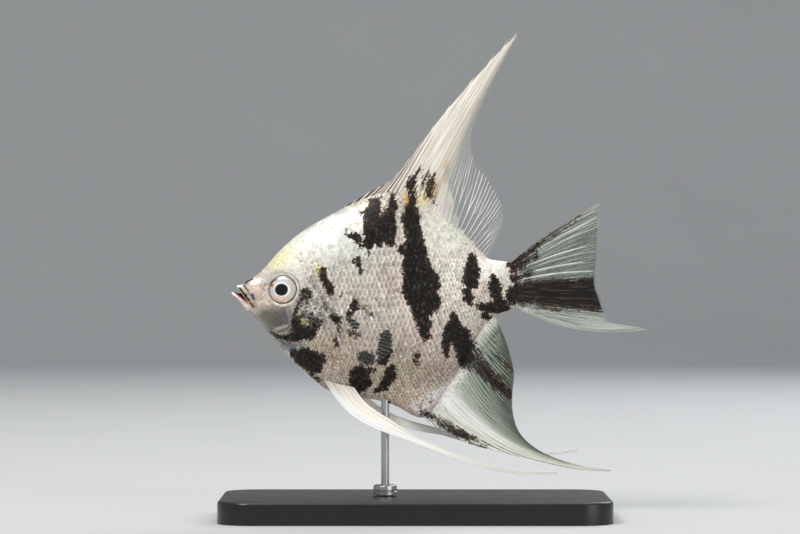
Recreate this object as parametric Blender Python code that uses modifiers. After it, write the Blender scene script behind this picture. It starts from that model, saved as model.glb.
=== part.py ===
"""Freshwater angelfish, marbled form: a still, life-size display model on a plain stand.

The fish swims level and faces -X, so its left flank faces -Y. Up is +Z. The origin is
the middle of the stand's underside. Sizes are in millimetres until an object is made,
where MM turns them into metres.
"""

import math

import bmesh
import bpy
import numpy as np
from mathutils import Matrix

MM = 0.001
GAP = 0.3  # clearance between neighbouring pieces
REACH = 30.0  # how far a cutter runs past the body on each side
SHARP_ANGLE = 40.0

# The body as cross-sections from the snout to the end of the tail stalk:
# x, top, bottom, height of the widest place, half width.
BODY_SECTIONS = (
    (-49.2, 60.4, 60.4, 60.4, 0.0),
    (-48.6, 61.3, 59.6, 60.4, 0.8),
    (-47.3, 62.4, 58.2, 60.2, 1.4),
    (-45.5, 63.4, 56.1, 59.8, 2.0),
    (-43.0, 64.8, 53.1, 59.4, 2.7),
    (-40.4, 66.5, 50.8, 59.2, 3.4),
    (-38.0, 69.8, 48.5, 59.0, 4.0),
    (-34.5, 73.3, 43.9, 58.6, 4.8),
    (-30.0, 77.1, 39.6, 58.0, 5.5),
    (-24.0, 80.6, 34.6, 57.5, 6.1),
    (-17.0, 84.2, 32.7, 57.0, 6.3),
    (-10.0, 86.9, 31.5, 57.0, 6.2),
    (-5.0, 86.8, 29.9, 57.5, 5.9),
    (0.0, 84.1, 27.2, 58.0, 5.4),
    (3.5, 82.0, 27.4, 58.5, 4.9),
    (7.5, 79.7, 32.3, 59.5, 4.3),
    (12.0, 76.3, 39.4, 60.5, 3.6),
    (16.0, 72.6, 47.0, 61.5, 2.9),
    (19.5, 69.7, 52.8, 62.0, 2.3),
    (23.0, 69.0, 54.9, 62.2, 1.9),
    (26.0, 68.4, 55.8, 62.2, 1.3),
    (27.4, 66.6, 57.6, 62.2, 0.8),
    (27.9, 62.2, 62.2, 62.2, 0.0),
)
KEEL_SHARPNESS = 1.3  # 1 gives oval sections, more gives thinner back and belly edges
BODY_RINGS = 44
BODY_SIDES = 26

# Outlines seen from the side, as x, z.
HEAD_OUTLINE = (
    (-60.0, 95.0), (-26.0, 95.0), (-26.8, 82.0), (-28.2, 72.0), (-29.3, 65.0), (-26.6, 61.0),
    (-24.6, 57.6), (-24.6, 53.6), (-26.0, 50.8), (-28.6, 48.6), (-33.4, 47.1), (-38.5, 47.9),
    (-44.0, 44.0), (-60.0, 44.0),
)
GILL_COVER_OUTLINE = (
    (-29.6, 64.4), (-22.0, 62.0), (-20.0, 52.0), (-26.0, 45.0), (-34.0, 44.6), (-37.6, 48.8),
    (-34.4, 50.2), (-32.3, 52.4), (-31.3, 55.4), (-30.9, 59.6), (-31.1, 63.0),
)
MOUTH_OUTLINE = (  # the room both jaws fill
    (-60.0, 70.0), (-46.2, 70.0), (-43.2, 60.7), (-42.7, 57.0), (-42.3, 54.6), (-42.5, 46.0),
    (-60.0, 46.0),
)
UPPER_JAW_OUTLINE = (
    (-50.4, 64.6), (-47.9, 61.5), (-44.2, 57.0), (-43.0, 57.0), (-43.5, 60.6), (-45.2, 66.0),
    (-50.4, 66.0),
)
LOWER_JAW_OUTLINE = (
    (-50.6, 61.2), (-48.7, 61.1), (-44.3, 56.3), (-42.6, 54.6), (-42.8, 51.0), (-50.6, 51.0),
)
GILL_COVER_DEPTH = 2.7  # from the fish's middle plane to the cover's inner face
TAIL_CUT_X = 19.6

EYE_CENTRE = (-35.3, 4.35, 61.3)  # on the right side, mirrored for the left
EYE_RADIUS = 3.7
EYE_BULGE = 0.8  # how far the front stands out from the eye's rim
EYE_DEPTH = 3.0  # how far the ball goes in behind the rim
EYE_TURN = math.radians(11)  # towards the snout
EYE_ROLL = math.radians(4)  # towards the back

# Fins as rays from root to tip: root x, root z, tip x, tip z, and how far the ray bows
# to its left between the two.
DORSAL_RAYS = (
    (-20.2, 81.6, -18.4, 83.9, 0.0),
    (-16.0, 83.4, -11.6, 87.9, 0.0),
    (-12.0, 85.2, -5.9, 91.2, -0.2),
    (-8.2, 86.1, 0.7, 99.2, -0.2),
    (-5.0, 85.8, 9.0, 110.3, 0.1),
    (-2.0, 84.4, 22.0, 125.2, 0.5),
    (0.5, 82.8, 28.5, 131.8, 0.9),
    (3.0, 81.2, 25.3, 125.6, 1.0),
    (5.5, 79.8, 19.6, 114.4, 0.9),
    (8.0, 78.3, 15.3, 103.0, 0.3),
    (10.0, 76.8, 15.9, 96.4, -0.5),
    (12.0, 75.0, 19.5, 91.4, -0.4),
    (13.8, 73.4, 22.4, 86.6, -0.3),
    (15.4, 71.8, 23.7, 81.6, -0.2),
    (17.0, 70.3, 22.9, 77.0, 0.0),
    (18.6, 68.9, 20.6, 72.0, 0.0),
)
ANAL_RAYS = (
    (1.2, 28.0, 4.2, 25.2, 0.0),
    (2.6, 29.0, 9.0, 22.8, -0.4),
    (4.0, 30.4, 14.6, 19.9, -0.9),
    (5.0, 31.6, 22.0, 17.9, -1.7),
    (6.0, 32.8, 32.5, 15.6, -2.7),
    (7.0, 34.2, 43.5, 13.2, -3.7),
    (7.8, 35.4, 52.5, 12.8, -5.6),
    (8.8, 36.9, 45.0, 13.95, -4.5),
    (10.0, 39.2, 36.4, 16.6, -3.5),
    (11.2, 41.4, 30.9, 19.8, -2.0),
    (12.3, 43.6, 27.8, 23.4, -1.4),
    (13.4, 45.8, 26.3, 28.4, -1.0),
    (14.5, 48.0, 26.2, 33.4, -0.7),
    (15.8, 50.4, 26.6, 38.5, -0.5),
    (17.2, 52.4, 25.6, 43.5, -0.3),
    (18.6, 54.0, 24.3, 47.6, -0.2),
    (20.2, 55.2, 22.2, 52.6, 0.0),
)
TAIL_RAYS = (
    (24.2, 67.0, 50.2, 84.8, 1.2),
    (24.8, 65.8, 49.9, 79.6, 0.9),
    (25.2, 64.4, 49.6, 73.4, 0.5),
    (25.4, 62.8, 49.2, 67.2, 0.2),
    (25.4, 61.4, 48.9, 62.6, 0.0),
    (25.4, 60.2, 50.1, 58.9, -0.3),
    (25.3, 59.2, 51.3, 55.4, -0.7),
    (25.2, 58.3, 52.6, 52.7, -1.6),
    (25.0, 57.6, 63.6, 50.8, -3.7),
)
# The fan behind the gill cover, with the places given as x, y, z.
PECTORAL_RAYS = (
    (-22.6, 5.2, 52.0, -9.0, 9.4, 56.6, 0.6),
    (-22.5, 5.3, 51.5, -5.2, 10.2, 52.0, 0.4),
    (-22.4, 5.3, 51.0, -5.0, 10.4, 47.0, 0.2),
    (-22.3, 5.3, 50.5, -8.2, 10.0, 42.6, 0.0),
    (-22.2, 5.2, 50.0, -13.0, 9.0, 40.4, -0.2),
    (-22.1, 5.1, 49.4, -17.6, 7.8, 42.6, -0.3),
)
# Pelvic fins as two edges running from the belly to the thread at the tip: front edge
# x, y, z and rear edge x, y, z. The left and the right fin are held apart in height.
PELVIC_LEFT_EDGES = (
    (-24.3, 1.7, 36.8, -17.2, 1.7, 36.4),
    (-20.4, 2.0, 31.2, -13.4, 1.9, 31.2),
    (-16.2, 2.6, 27.2, -10.3, 2.6, 28.8),
    (-10.1, 3.4, 24.0, -6.6, 3.3, 26.6),
    (-3.0, 4.2, 21.4, -0.6, 4.1, 22.6),
    (3.2, 4.8, 19.0, 4.4, 4.7, 20.2),
    (10.5, 5.4, 16.3, 11.2, 5.4, 17.4),
    (18.1, 5.9, 13.9, 18.5, 5.9, 14.9),
    (28.0, 6.3, 12.2, 28.1, 6.3, 13.0),
    (37.9, 6.6, 12.3, 38.0, 6.6, 12.9),
)
PELVIC_RIGHT_EDGES = (
    (-24.3, 1.7, 36.8, -17.2, 1.7, 36.4),
    (-18.4, 2.0, 31.4, -11.4, 1.9, 31.4),
    (-12.0, 2.6, 27.6, -7.4, 2.6, 28.6),
    (-4.5, 3.4, 24.7, -1.0, 3.3, 26.0),
    (1.4, 4.1, 23.1, 4.2, 4.1, 24.6),
    (7.0, 4.7, 22.1, 8.8, 4.7, 23.2),
    (14.0, 5.3, 20.1, 15.0, 5.3, 21.1),
    (24.0, 5.9, 17.8, 24.4, 5.9, 18.6),
    (35.0, 6.4, 16.5, 35.0, 6.4, 17.2),
    (44.3, 6.6, 17.7, 44.2, 6.6, 18.3),
)
MEDIAN_FIN_THICKNESS = 1.5
PAIRED_FIN_THICKNESS = 1.0
FIN_EDGE_THICKNESS = 0.55
FIN_TAPER = 1.5  # more keeps the thick part nearer to the root
DORSAL_BEND = (1.5, 0.6)  # lean of the tip to the right, depth of the ripple
ANAL_BEND = (-1.2, 0.6)
TAIL_BEND = (1.2, 0.4)

BASE_LENGTH = 104.0
BASE_WIDTH = 54.0
BASE_THICKNESS = 6.0
BASE_CORNER = 9.0
BASE_EDGE = 0.8
ROD_X = -8.0
ROD_RADIUS = 1.1
ROD_TOP = 40.0
FERRULE_RADIUS = 3.2
FERRULE_TOP = 9.0
FERRULE_EDGE = 0.5

# Base colour, roughness and metallic of each finish.
FINISHES = {
    "skin": ((0.66, 0.62, 0.57), 0.35, 0.0),
    "gill_cover": ((0.52, 0.49, 0.46), 0.3, 0.0),
    "lip": ((0.72, 0.56, 0.50), 0.4, 0.0),
    "eye": ((0.70, 0.70, 0.68), 0.12, 0.0),
    "fin": ((0.72, 0.75, 0.70), 0.45, 0.0),
    "base": ((0.02, 0.02, 0.022), 0.35, 0.0),
    "rod": ((0.62, 0.62, 0.61), 0.25, 1.0),
}


def through(rows, place):
    """The smooth curve through the rows, read at place, which counts in rows."""
    rows = np.asarray(rows, float)
    last = len(rows) - 1
    start = min(int(place), last - 1)
    t = place - start
    before, a, b, after = (rows[max(0, min(last, start + k))] for k in (-1, 0, 1, 2))
    leave = (b - before) / 2
    arrive = (after - a) / 2
    return (
        a * (1 - 3 * t**2 + 2 * t**3)
        + b * (3 * t**2 - 2 * t**3)
        + leave * (t - 2 * t**2 + t**3)
        + arrive * (t**3 - t**2)
    )


def clear_scene():
    for obj in list(bpy.data.objects):
        bpy.data.objects.remove(obj)


def collection(name):
    made = bpy.data.collections.new(name)
    bpy.context.scene.collection.children.link(made)
    return made


def material(name):
    colour, roughness, metallic = FINISHES[name]
    made = bpy.data.materials.new(name)
    made.use_nodes = True
    shader = made.node_tree.nodes["Principled BSDF"]
    shader.inputs["Base Color"].default_value = (*colour, 1)
    shader.inputs["Roughness"].default_value = roughness
    shader.inputs["Metallic"].default_value = metallic
    made.diffuse_color = (*colour, 1)
    return made


def link_mesh(bm, name, group):
    """Turns a bmesh drawn in millimetres into an object of the collection."""
    bmesh.ops.scale(bm, vec=(MM, MM, MM), verts=bm.verts)
    bmesh.ops.recalc_face_normals(bm, faces=bm.faces)
    mesh = bpy.data.meshes.new(name)
    bm.to_mesh(mesh)
    bm.free()
    mesh.shade_smooth()
    mesh.set_sharp_from_angle(angle=math.radians(SHARP_ANGLE))
    obj = bpy.data.objects.new(name, mesh)
    group.objects.link(obj)
    return obj


def as_cutter(obj):
    obj.hide_render = True
    obj.display_type = "WIRE"
    return obj


def combine(obj, operation, other):
    step = obj.modifiers.new(f"{operation.lower()}_{other.name}", "BOOLEAN")
    step.operation = operation
    step.object = other


def body_solid(name, group, grow=0.0):
    """The whole fish without fins: a sphere, each vertex moved onto its cross-section."""
    bm = bmesh.new()
    bmesh.ops.create_uvsphere(bm, u_segments=BODY_SIDES, v_segments=BODY_RINGS, radius=1)
    for vert in bm.verts:
        along = math.acos(max(-1.0, min(1.0, vert.co.z))) / math.pi
        place = along * (len(BODY_SECTIONS) - 1)
        x, top, bottom, middle, half_width = through(BODY_SECTIONS, place)
        radial = min(1.0, math.hypot(vert.co.x, vert.co.y) / 1e-4)
        around = math.atan2(vert.co.x, vert.co.y)
        rise, side = radial * math.sin(around), radial * math.cos(around)
        height = (top - middle + grow) * max(rise, 0) + (middle - bottom + grow) * min(rise, 0)
        width = (half_width + grow) * math.copysign(abs(side) ** KEEL_SHARPNESS, side)
        vert.co = (x + grow * (2 * along - 1), width, middle + height)
    return link_mesh(bm, name, group)


def grown(outline, by):
    """A closed outline with each corner pushed away from the region inside."""
    points = np.array(outline, float)
    before = np.roll(points, 1, axis=0)
    after = np.roll(points, -1, axis=0)
    turn = np.sum(before[:, 0] * points[:, 1] - points[:, 0] * before[:, 1])

    def outward(edge):
        normal = np.stack([edge[:, 1], -edge[:, 0]], axis=1) * math.copysign(1, turn)
        return normal / np.linalg.norm(normal, axis=1, keepdims=True)

    first = outward(points - before)
    second = outward(after - points)
    spread = 1 + np.sum(first * second, axis=1, keepdims=True)
    return points + by * (first + second) / np.maximum(spread, 0.5)


def region(name, outline, group, near=-REACH, far=REACH):
    """A cutter: the outline in the XZ plane, extruded sideways from y near to y far."""
    curve = bpy.data.curves.new(name, "CURVE")
    curve.dimensions = "2D"
    curve.fill_mode = "BOTH"
    curve.extrude = (far - near) / 2 * MM
    spline = curve.splines.new("POLY")
    spline.points.add(len(outline) - 1)
    for point, (x, z) in zip(spline.points, outline):
        point.co = (x * MM, z * MM, 0, 1)
    spline.use_cyclic_u = True
    drawn = bpy.data.objects.new(name + "_outline", curve)
    group.objects.link(drawn)
    upright = Matrix.Rotation(math.pi / 2, 4, "X")
    drawn.matrix_world = Matrix.Translation((0, (near + far) / 2 * MM, 0)) @ upright
    bpy.context.view_layer.update()
    graph = bpy.context.evaluated_depsgraph_get()
    mesh = bpy.data.meshes.new_from_object(drawn.evaluated_get(graph))
    bm = bmesh.new()
    bm.from_mesh(mesh)
    bmesh.ops.remove_doubles(bm, verts=bm.verts, dist=1e-6)
    bmesh.ops.recalc_face_normals(bm, faces=bm.faces)
    bm.to_mesh(mesh)
    bm.free()
    solid = bpy.data.objects.new(name, mesh)
    solid.matrix_world = drawn.matrix_world
    group.objects.link(solid)
    bpy.data.objects.remove(drawn)
    return as_cutter(solid)


def eyeball(name, group, side, grow=0.0):
    """An eye, or with grow the room for one. Side is -1 for the left and 1 for the right."""
    bm = bmesh.new()
    bmesh.ops.create_uvsphere(bm, u_segments=20, v_segments=10, radius=1)
    for vert in bm.verts:
        depth = EYE_BULGE if vert.co.z > 0 else EYE_DEPTH
        vert.co.z *= depth + grow
        vert.co.xy *= EYE_RADIUS + grow
    outward = Matrix.Rotation(-side * math.pi / 2, 3, "X")
    turned = Matrix.Rotation(side * EYE_TURN, 3, "Z") @ Matrix.Rotation(side * EYE_ROLL, 3, "X")
    bmesh.ops.rotate(bm, matrix=turned @ outward, verts=bm.verts)
    x, y, z = EYE_CENTRE
    bmesh.ops.translate(bm, vec=(x, side * y, z), verts=bm.verts)
    return link_mesh(bm, name, group)


def rayed(rays, bend=(0.0, 0.0)):
    """The middle surface of a fin given by rays: u runs across them, v from root to tip."""
    flat = len(rays[0]) == 5
    rows = [(r[0], 0.0, r[1], r[2], 0.0, r[3], r[4]) if flat else r for r in rays]
    lean, ripple = bend

    def surface(u, v):
        ray = through(rows, u * (len(rows) - 1))
        chord = ray[3:6] - ray[:3]
        left = np.array([-chord[2], 0.0, chord[0]]) / math.hypot(chord[0], chord[2])
        x, y, z = ray[:3] + chord * v + left * ray[6] * 4 * v * (1 - v)
        wave = ripple * v * math.sin(2 * math.pi * (1.5 * u + 0.5 * v))
        return x, y + lean * v**2 + wave, z

    return surface


def edged(rows):
    """The middle surface of a fin between two edges: u runs across, v from root to tip."""

    def surface(u, v):
        both = through(rows, v * (len(rows) - 1))
        return both[:3] * (1 - u) + both[3:] * u

    return surface


def fin_solid(name, surface, group, steps, thickness, side=1):
    """A thin web about a middle surface, thickest at the root.

    steps are the numbers of faces across the fin and from root to tip.
    """
    bm = bmesh.new()
    bmesh.ops.create_grid(bm, x_segments=steps[0], y_segments=steps[1], size=1)
    weights = bm.verts.layers.deform.verify()
    for vert in bm.verts:
        u, v = (vert.co.x + 1) / 2, (vert.co.y + 1) / 2
        x, y, z = surface(u, v)
        vert.co = (x, side * y, z)
        vert[weights][0] = max(0.0, 1 - v) ** FIN_TAPER
    fin = link_mesh(bm, name, group)
    fin.vertex_groups.new(name="thickness")
    web = fin.modifiers.new("web", "SOLIDIFY")
    web.thickness = thickness * MM
    web.offset = 0
    web.vertex_group = "thickness"
    web.thickness_vertex_group = FIN_EDGE_THICKNESS / thickness
    return fin


def display_base(group):
    bm = bmesh.new()
    bmesh.ops.create_cube(bm, size=1)
    bmesh.ops.scale(bm, vec=(BASE_LENGTH, BASE_WIDTH, BASE_THICKNESS), verts=bm.verts)
    bmesh.ops.translate(bm, vec=(0, 0, BASE_THICKNESS / 2), verts=bm.verts)
    corners = [e for e in bm.edges if abs(e.verts[0].co.z - e.verts[1].co.z) > 1]
    bmesh.ops.bevel(
        bm, geom=corners, offset=BASE_CORNER, segments=8, profile=0.5, affect="EDGES"
    )
    rim = [e for e in bm.edges if min(v.co.z for v in e.verts) > BASE_THICKNESS - 0.01]
    bmesh.ops.bevel(bm, geom=rim, offset=BASE_EDGE, segments=2, profile=0.5, affect="EDGES")
    return link_mesh(bm, "stand_base", group)


def upright_bar(name, group, radius, low, high):
    """A round bar standing at the rod's place."""
    bm = bmesh.new()
    bmesh.ops.create_cone(
        bm, cap_ends=True, segments=24, radius1=radius, radius2=radius, depth=high - low
    )
    bmesh.ops.translate(bm, vec=(ROD_X, 0, (low + high) / 2), verts=bm.verts)
    return link_mesh(bm, name, group)


def ferrule(group, bore):
    """The turned ring at the foot of the rod."""
    made = upright_bar("stand_ferrule", group, FERRULE_RADIUS, BASE_THICKNESS + GAP, FERRULE_TOP)
    edge = made.modifiers.new("edge", "BEVEL")
    edge.width = FERRULE_EDGE * MM
    edge.segments = 2
    combine(made, "DIFFERENCE", bore)
    return made


def jaw(name, outline, parts, cutters):
    made = body_solid(name, parts)
    combine(made, "INTERSECT", region(name + "_region", outline, cutters))
    return made


def gill_cover(name, side, parts, cutters, head, head_region):
    """The plate over the gills on one side of the head."""
    inner = side * GILL_COVER_DEPTH
    outer = side * REACH
    plate = region(name + "_region", GILL_COVER_OUTLINE, cutters, *sorted((inner, outer)))
    made = body_solid(name, parts)
    combine(made, "INTERSECT", plate)
    combine(made, "INTERSECT", head_region)
    inner -= side * GAP
    wider = grown(GILL_COVER_OUTLINE, GAP)
    combine(head, "DIFFERENCE", region(name + "_room", wider, cutters, *sorted((inner, outer))))
    return made


def head_pieces(parts, cutters):
    """Head, jaws, gill covers and eyes, by the finish each one gets."""
    head_region = region("head_region", HEAD_OUTLINE, cutters)
    head = body_solid("head", parts)
    combine(head, "INTERSECT", head_region)
    combine(head, "DIFFERENCE", region("mouth_room", MOUTH_OUTLINE, cutters))
    lips = [
        jaw("upper_jaw", UPPER_JAW_OUTLINE, parts, cutters),
        jaw("lower_jaw", LOWER_JAW_OUTLINE, parts, cutters),
    ]
    covers = []
    eyes = []
    for word, side in (("left", -1), ("right", 1)):
        covers.append(gill_cover(f"gill_cover_{word}", side, parts, cutters, head, head_region))
        eyes.append(eyeball(f"eye_{word}", parts, side))
        combine(head, "DIFFERENCE", as_cutter(eyeball(f"socket_{word}", cutters, side, GAP)))
    return {"skin": [head], "lip": lips, "gill_cover": covers, "eye": eyes}


def trunk_pieces(parts, cutters, bore):
    """Trunk and tail stalk, with the bore for the rod."""
    trunk = body_solid("trunk", parts)
    stalk = body_solid("tail_stalk", parts)
    front_end = TAIL_CUT_X - GAP / 2
    rear_end = TAIL_CUT_X + GAP / 2
    front = ((-60, 0), (front_end, 0), (front_end, 120), (-60, 120))
    rear = ((rear_end, 0), (60, 0), (60, 120), (rear_end, 120))
    combine(trunk, "INTERSECT", region("trunk_region", front, cutters))
    combine(trunk, "DIFFERENCE", region("head_room", grown(HEAD_OUTLINE, GAP), cutters))
    combine(trunk, "DIFFERENCE", bore)
    combine(stalk, "INTERSECT", region("stalk_region", rear, cutters))
    return [trunk, stalk]


def fins(parts, cutters):
    """All seven fins, each cut back to the body's surface."""
    median = MEDIAN_FIN_THICKNESS
    paired = PAIRED_FIN_THICKNESS
    pectoral = rayed(PECTORAL_RAYS)
    made = [
        fin_solid("dorsal_fin", rayed(DORSAL_RAYS, DORSAL_BEND), parts, (15, 7), median),
        fin_solid("anal_fin", rayed(ANAL_RAYS, ANAL_BEND), parts, (16, 7), median),
        fin_solid("tail_fin", rayed(TAIL_RAYS, TAIL_BEND), parts, (16, 6), median),
        fin_solid("pelvic_fin_left", edged(PELVIC_LEFT_EDGES), parts, (2, 18), paired, -1),
        fin_solid("pelvic_fin_right", edged(PELVIC_RIGHT_EDGES), parts, (2, 18), paired),
        fin_solid("pectoral_fin_left", pectoral, parts, (10, 5), paired, -1),
        fin_solid("pectoral_fin_right", pectoral, parts, (10, 5), paired),
    ]
    body_room = as_cutter(body_solid("body_room", cutters, GAP))
    for fin in made:
        combine(fin, "DIFFERENCE", body_room)
    return made


def main():
    clear_scene()
    parts = collection("freshwater_angelfish")
    cutters = collection("cutters")
    bore = as_cutter(upright_bar("rod_room", cutters, ROD_RADIUS + GAP, -1, ROD_TOP + GAP))
    pieces = head_pieces(parts, cutters)
    pieces["skin"] += trunk_pieces(parts, cutters, bore)
    pieces["fin"] = fins(parts, cutters)
    pieces["base"] = [display_base(parts)]
    rod = upright_bar("stand_rod", parts, ROD_RADIUS, BASE_THICKNESS + GAP, ROD_TOP)
    pieces["rod"] = [rod, ferrule(parts, bore)]
    for name, objects in pieces.items():
        coat = material(name)
        for obj in objects:
            obj.data.materials.append(coat)


main()
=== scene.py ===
"""Looks of the freshwater angelfish display model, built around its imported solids.

The fish swims level towards -X and its left flank faces -Y, +Z is up, and the origin is
the middle of the stand's underside. Shapes are worked out in millimetres in the same
frame and turned to metres when a mesh is made.
"""

import logging
import math
from dataclasses import dataclass
from enum import Enum
from functools import cache
from typing import Sequence

import bmesh
import bpy
import numpy as np
from bmesh.types import BMesh, BMVert
from bpy.types import Camera, Light, Material, Mesh, Node, NodeSocket, NodeTree, Object
from mathutils import Matrix, Vector

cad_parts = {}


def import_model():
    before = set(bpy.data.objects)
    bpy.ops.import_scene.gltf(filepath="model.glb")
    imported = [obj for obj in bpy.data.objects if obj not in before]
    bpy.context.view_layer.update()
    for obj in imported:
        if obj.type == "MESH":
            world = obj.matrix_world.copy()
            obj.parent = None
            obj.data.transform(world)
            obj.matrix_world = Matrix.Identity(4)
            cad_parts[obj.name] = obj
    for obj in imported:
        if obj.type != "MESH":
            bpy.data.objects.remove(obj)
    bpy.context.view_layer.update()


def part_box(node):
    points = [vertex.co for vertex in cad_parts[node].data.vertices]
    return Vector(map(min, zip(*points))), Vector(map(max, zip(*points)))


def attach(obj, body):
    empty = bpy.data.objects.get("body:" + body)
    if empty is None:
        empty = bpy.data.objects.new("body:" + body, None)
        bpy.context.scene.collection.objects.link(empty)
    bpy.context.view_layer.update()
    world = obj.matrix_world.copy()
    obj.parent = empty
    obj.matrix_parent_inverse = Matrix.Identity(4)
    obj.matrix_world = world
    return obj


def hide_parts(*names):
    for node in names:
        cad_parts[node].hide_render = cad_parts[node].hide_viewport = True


MM = 0.001
BODY_NAME = "root"
log = logging.getLogger("angelfish")

Array = np.ndarray
Rows = Sequence[Sequence[float]]
Strokes = Sequence[tuple]
Place = tuple[float, float, float]
Inputs = dict[str, object]


class Side(Enum):
    """The fish's two sides, with the sign of Y on each."""

    LEFT = -1
    RIGHT = 1

    @property
    def word(self) -> str:
        """The side's name in lower case."""
        return self.name.lower()


# ---------------------------------------------------------------- numbers and curves


def srgb(code: str) -> tuple[float, float, float, float]:
    """Turns an sRGB hex colour to linear RGBA.

    Args:
        code: six hex digits, with or without a hash sign.

    Returns:
        Linear red, green, blue and an alpha of 1.
    """
    code = code.lstrip("#")
    parts = [int(code[i : i + 2], 16) / 255 for i in (0, 2, 4)]
    linear = [p / 12.92 if p <= 0.04045 else ((p + 0.055) / 1.055) ** 2.4 for p in parts]
    return (linear[0], linear[1], linear[2], 1.0)


def blend(colours: Array, code: str, amount: Array) -> None:
    """Moves linear RGBA rows towards an sRGB colour in place, each by its own amount."""
    colours += (np.array(srgb(code)) - colours) * amount[:, None]


def smooth(t: Array | float) -> Array:
    """A soft step from 0 to 1 as t goes from 0 to 1."""
    t = np.clip(t, 0.0, 1.0)
    return t * t * (3 - 2 * t)


def hill(t: Array | float) -> Array:
    """A bell that is 1 at 0 and fades out by about 2."""
    return np.exp(-np.square(t))


def oval(x: Array, z: Array, zone: Sequence[float], power: float = 2.0) -> Array:
    """A soft area round x and z with a half length and half height, 1 in its middle."""
    return hill(np.hypot((x - zone[0]) / zone[2], (z - zone[1]) / zone[3]) ** power)


def through(rows: Rows | Array, places: Array) -> Array:
    """Reads the smooth curve through the rows.

    Args:
        rows: the points of the curve, one per row.
        places: where to read it, counted in rows.

    Returns:
        One point per place.
    """
    table = np.asarray(rows, float)
    last = len(table) - 1
    places = np.clip(np.asarray(places, float), 0, last)
    start = np.minimum(places.astype(int), last - 1)
    t = (places - start)[..., None]
    before, a, b, after = (table[np.clip(start + k, 0, last)] for k in (-1, 0, 1, 2))
    leave, arrive = (b - before) / 2, (after - a) / 2
    return (
        a * (1 - 3 * t**2 + 2 * t**3)
        + b * (3 * t**2 - 2 * t**3)
        + leave * (t - 2 * t**2 + t**3)
        + arrive * (t**3 - t**2)
    )


def scatter(cells: Array, seed: int) -> Array:
    """A repeatable random number from 0 to 1 for each row of whole numbers.

    Args:
        cells: rows of whole numbers.
        seed: which pattern.

    Returns:
        One number per row.
    """
    mixed = np.full(len(cells), seed * 374761393 % 2**32, np.uint64)
    for axis, prime in enumerate((668265263, 2246822519, 3266489917)[: cells.shape[1]]):
        mixed ^= cells[:, axis].astype(np.int64).astype(np.uint64) * np.uint64(prime)
        mixed = (mixed ^ (mixed >> np.uint64(15))) * np.uint64(2654435761) & np.uint64(0xFFFFFFFF)
    return ((mixed ^ (mixed >> np.uint64(13))) & np.uint64(0xFFFFFF)).astype(float) / 0xFFFFFF


def rough(points: Array, cell: float, seed: int = 1) -> Array:
    """Smooth lumpy noise.

    Args:
        points: places, one per row, two or three numbers each.
        cell: the size of one lump, in the points' own unit.
        seed: which pattern.

    Returns:
        A number from -1 to 1 for each point.
    """
    scaled = points / cell
    base = np.floor(scaled)
    t = smooth(scaled - base)
    total = np.zeros(len(points))
    for corner in np.ndindex(*(2,) * points.shape[1]):
        offset = np.array(corner)
        weight = np.prod(np.where(offset, t, 1 - t), axis=1)
        total += weight * scatter(base + offset, seed)
    return total * 2 - 1


def near_segment(
    x: Array, z: Array, start: Sequence[float], end: Sequence[float]
) -> tuple[Array, Array, Array]:
    """Where places in the side view lie beside a straight segment.

    Args:
        x: places along the fish.
        z: heights.
        start: x and z of the segment's start.
        end: x and z of its end.

    Returns:
        How far along the segment the nearest place is, from 0 to 1, the distance to it, and
        a number above 0 on the segment's left.
    """
    dx, dz = end[0] - start[0], end[1] - start[1]
    out_x, out_z = x - start[0], z - start[1]
    t = np.clip((out_x * dx + out_z * dz) / (dx * dx + dz * dz + 1e-9), 0, 1)
    return t, np.hypot(out_x - t * dx, out_z - t * dz), dx * out_z - dz * out_x


def edge_distance(x: Array, z: Array, line: Rows) -> Array:
    """Distance to a line of points in the side view, with a sign.

    Args:
        x: places along the fish.
        z: heights.
        line: the points of the line, in order.

    Returns:
        The distance, above 0 on the line's left and below 0 on its right.
    """
    best = np.full(x.shape, 1e9)
    sign = np.ones(x.shape)
    for start, end in zip(line[:-1], line[1:]):
        _, gap, left = near_segment(x, z, start, end)
        nearer = gap < best
        best = np.where(nearer, gap, best)
        sign = np.where(nearer, np.sign(left), sign)
    return best * sign


# ---------------------------------------------------------------- the fish's form


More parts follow.
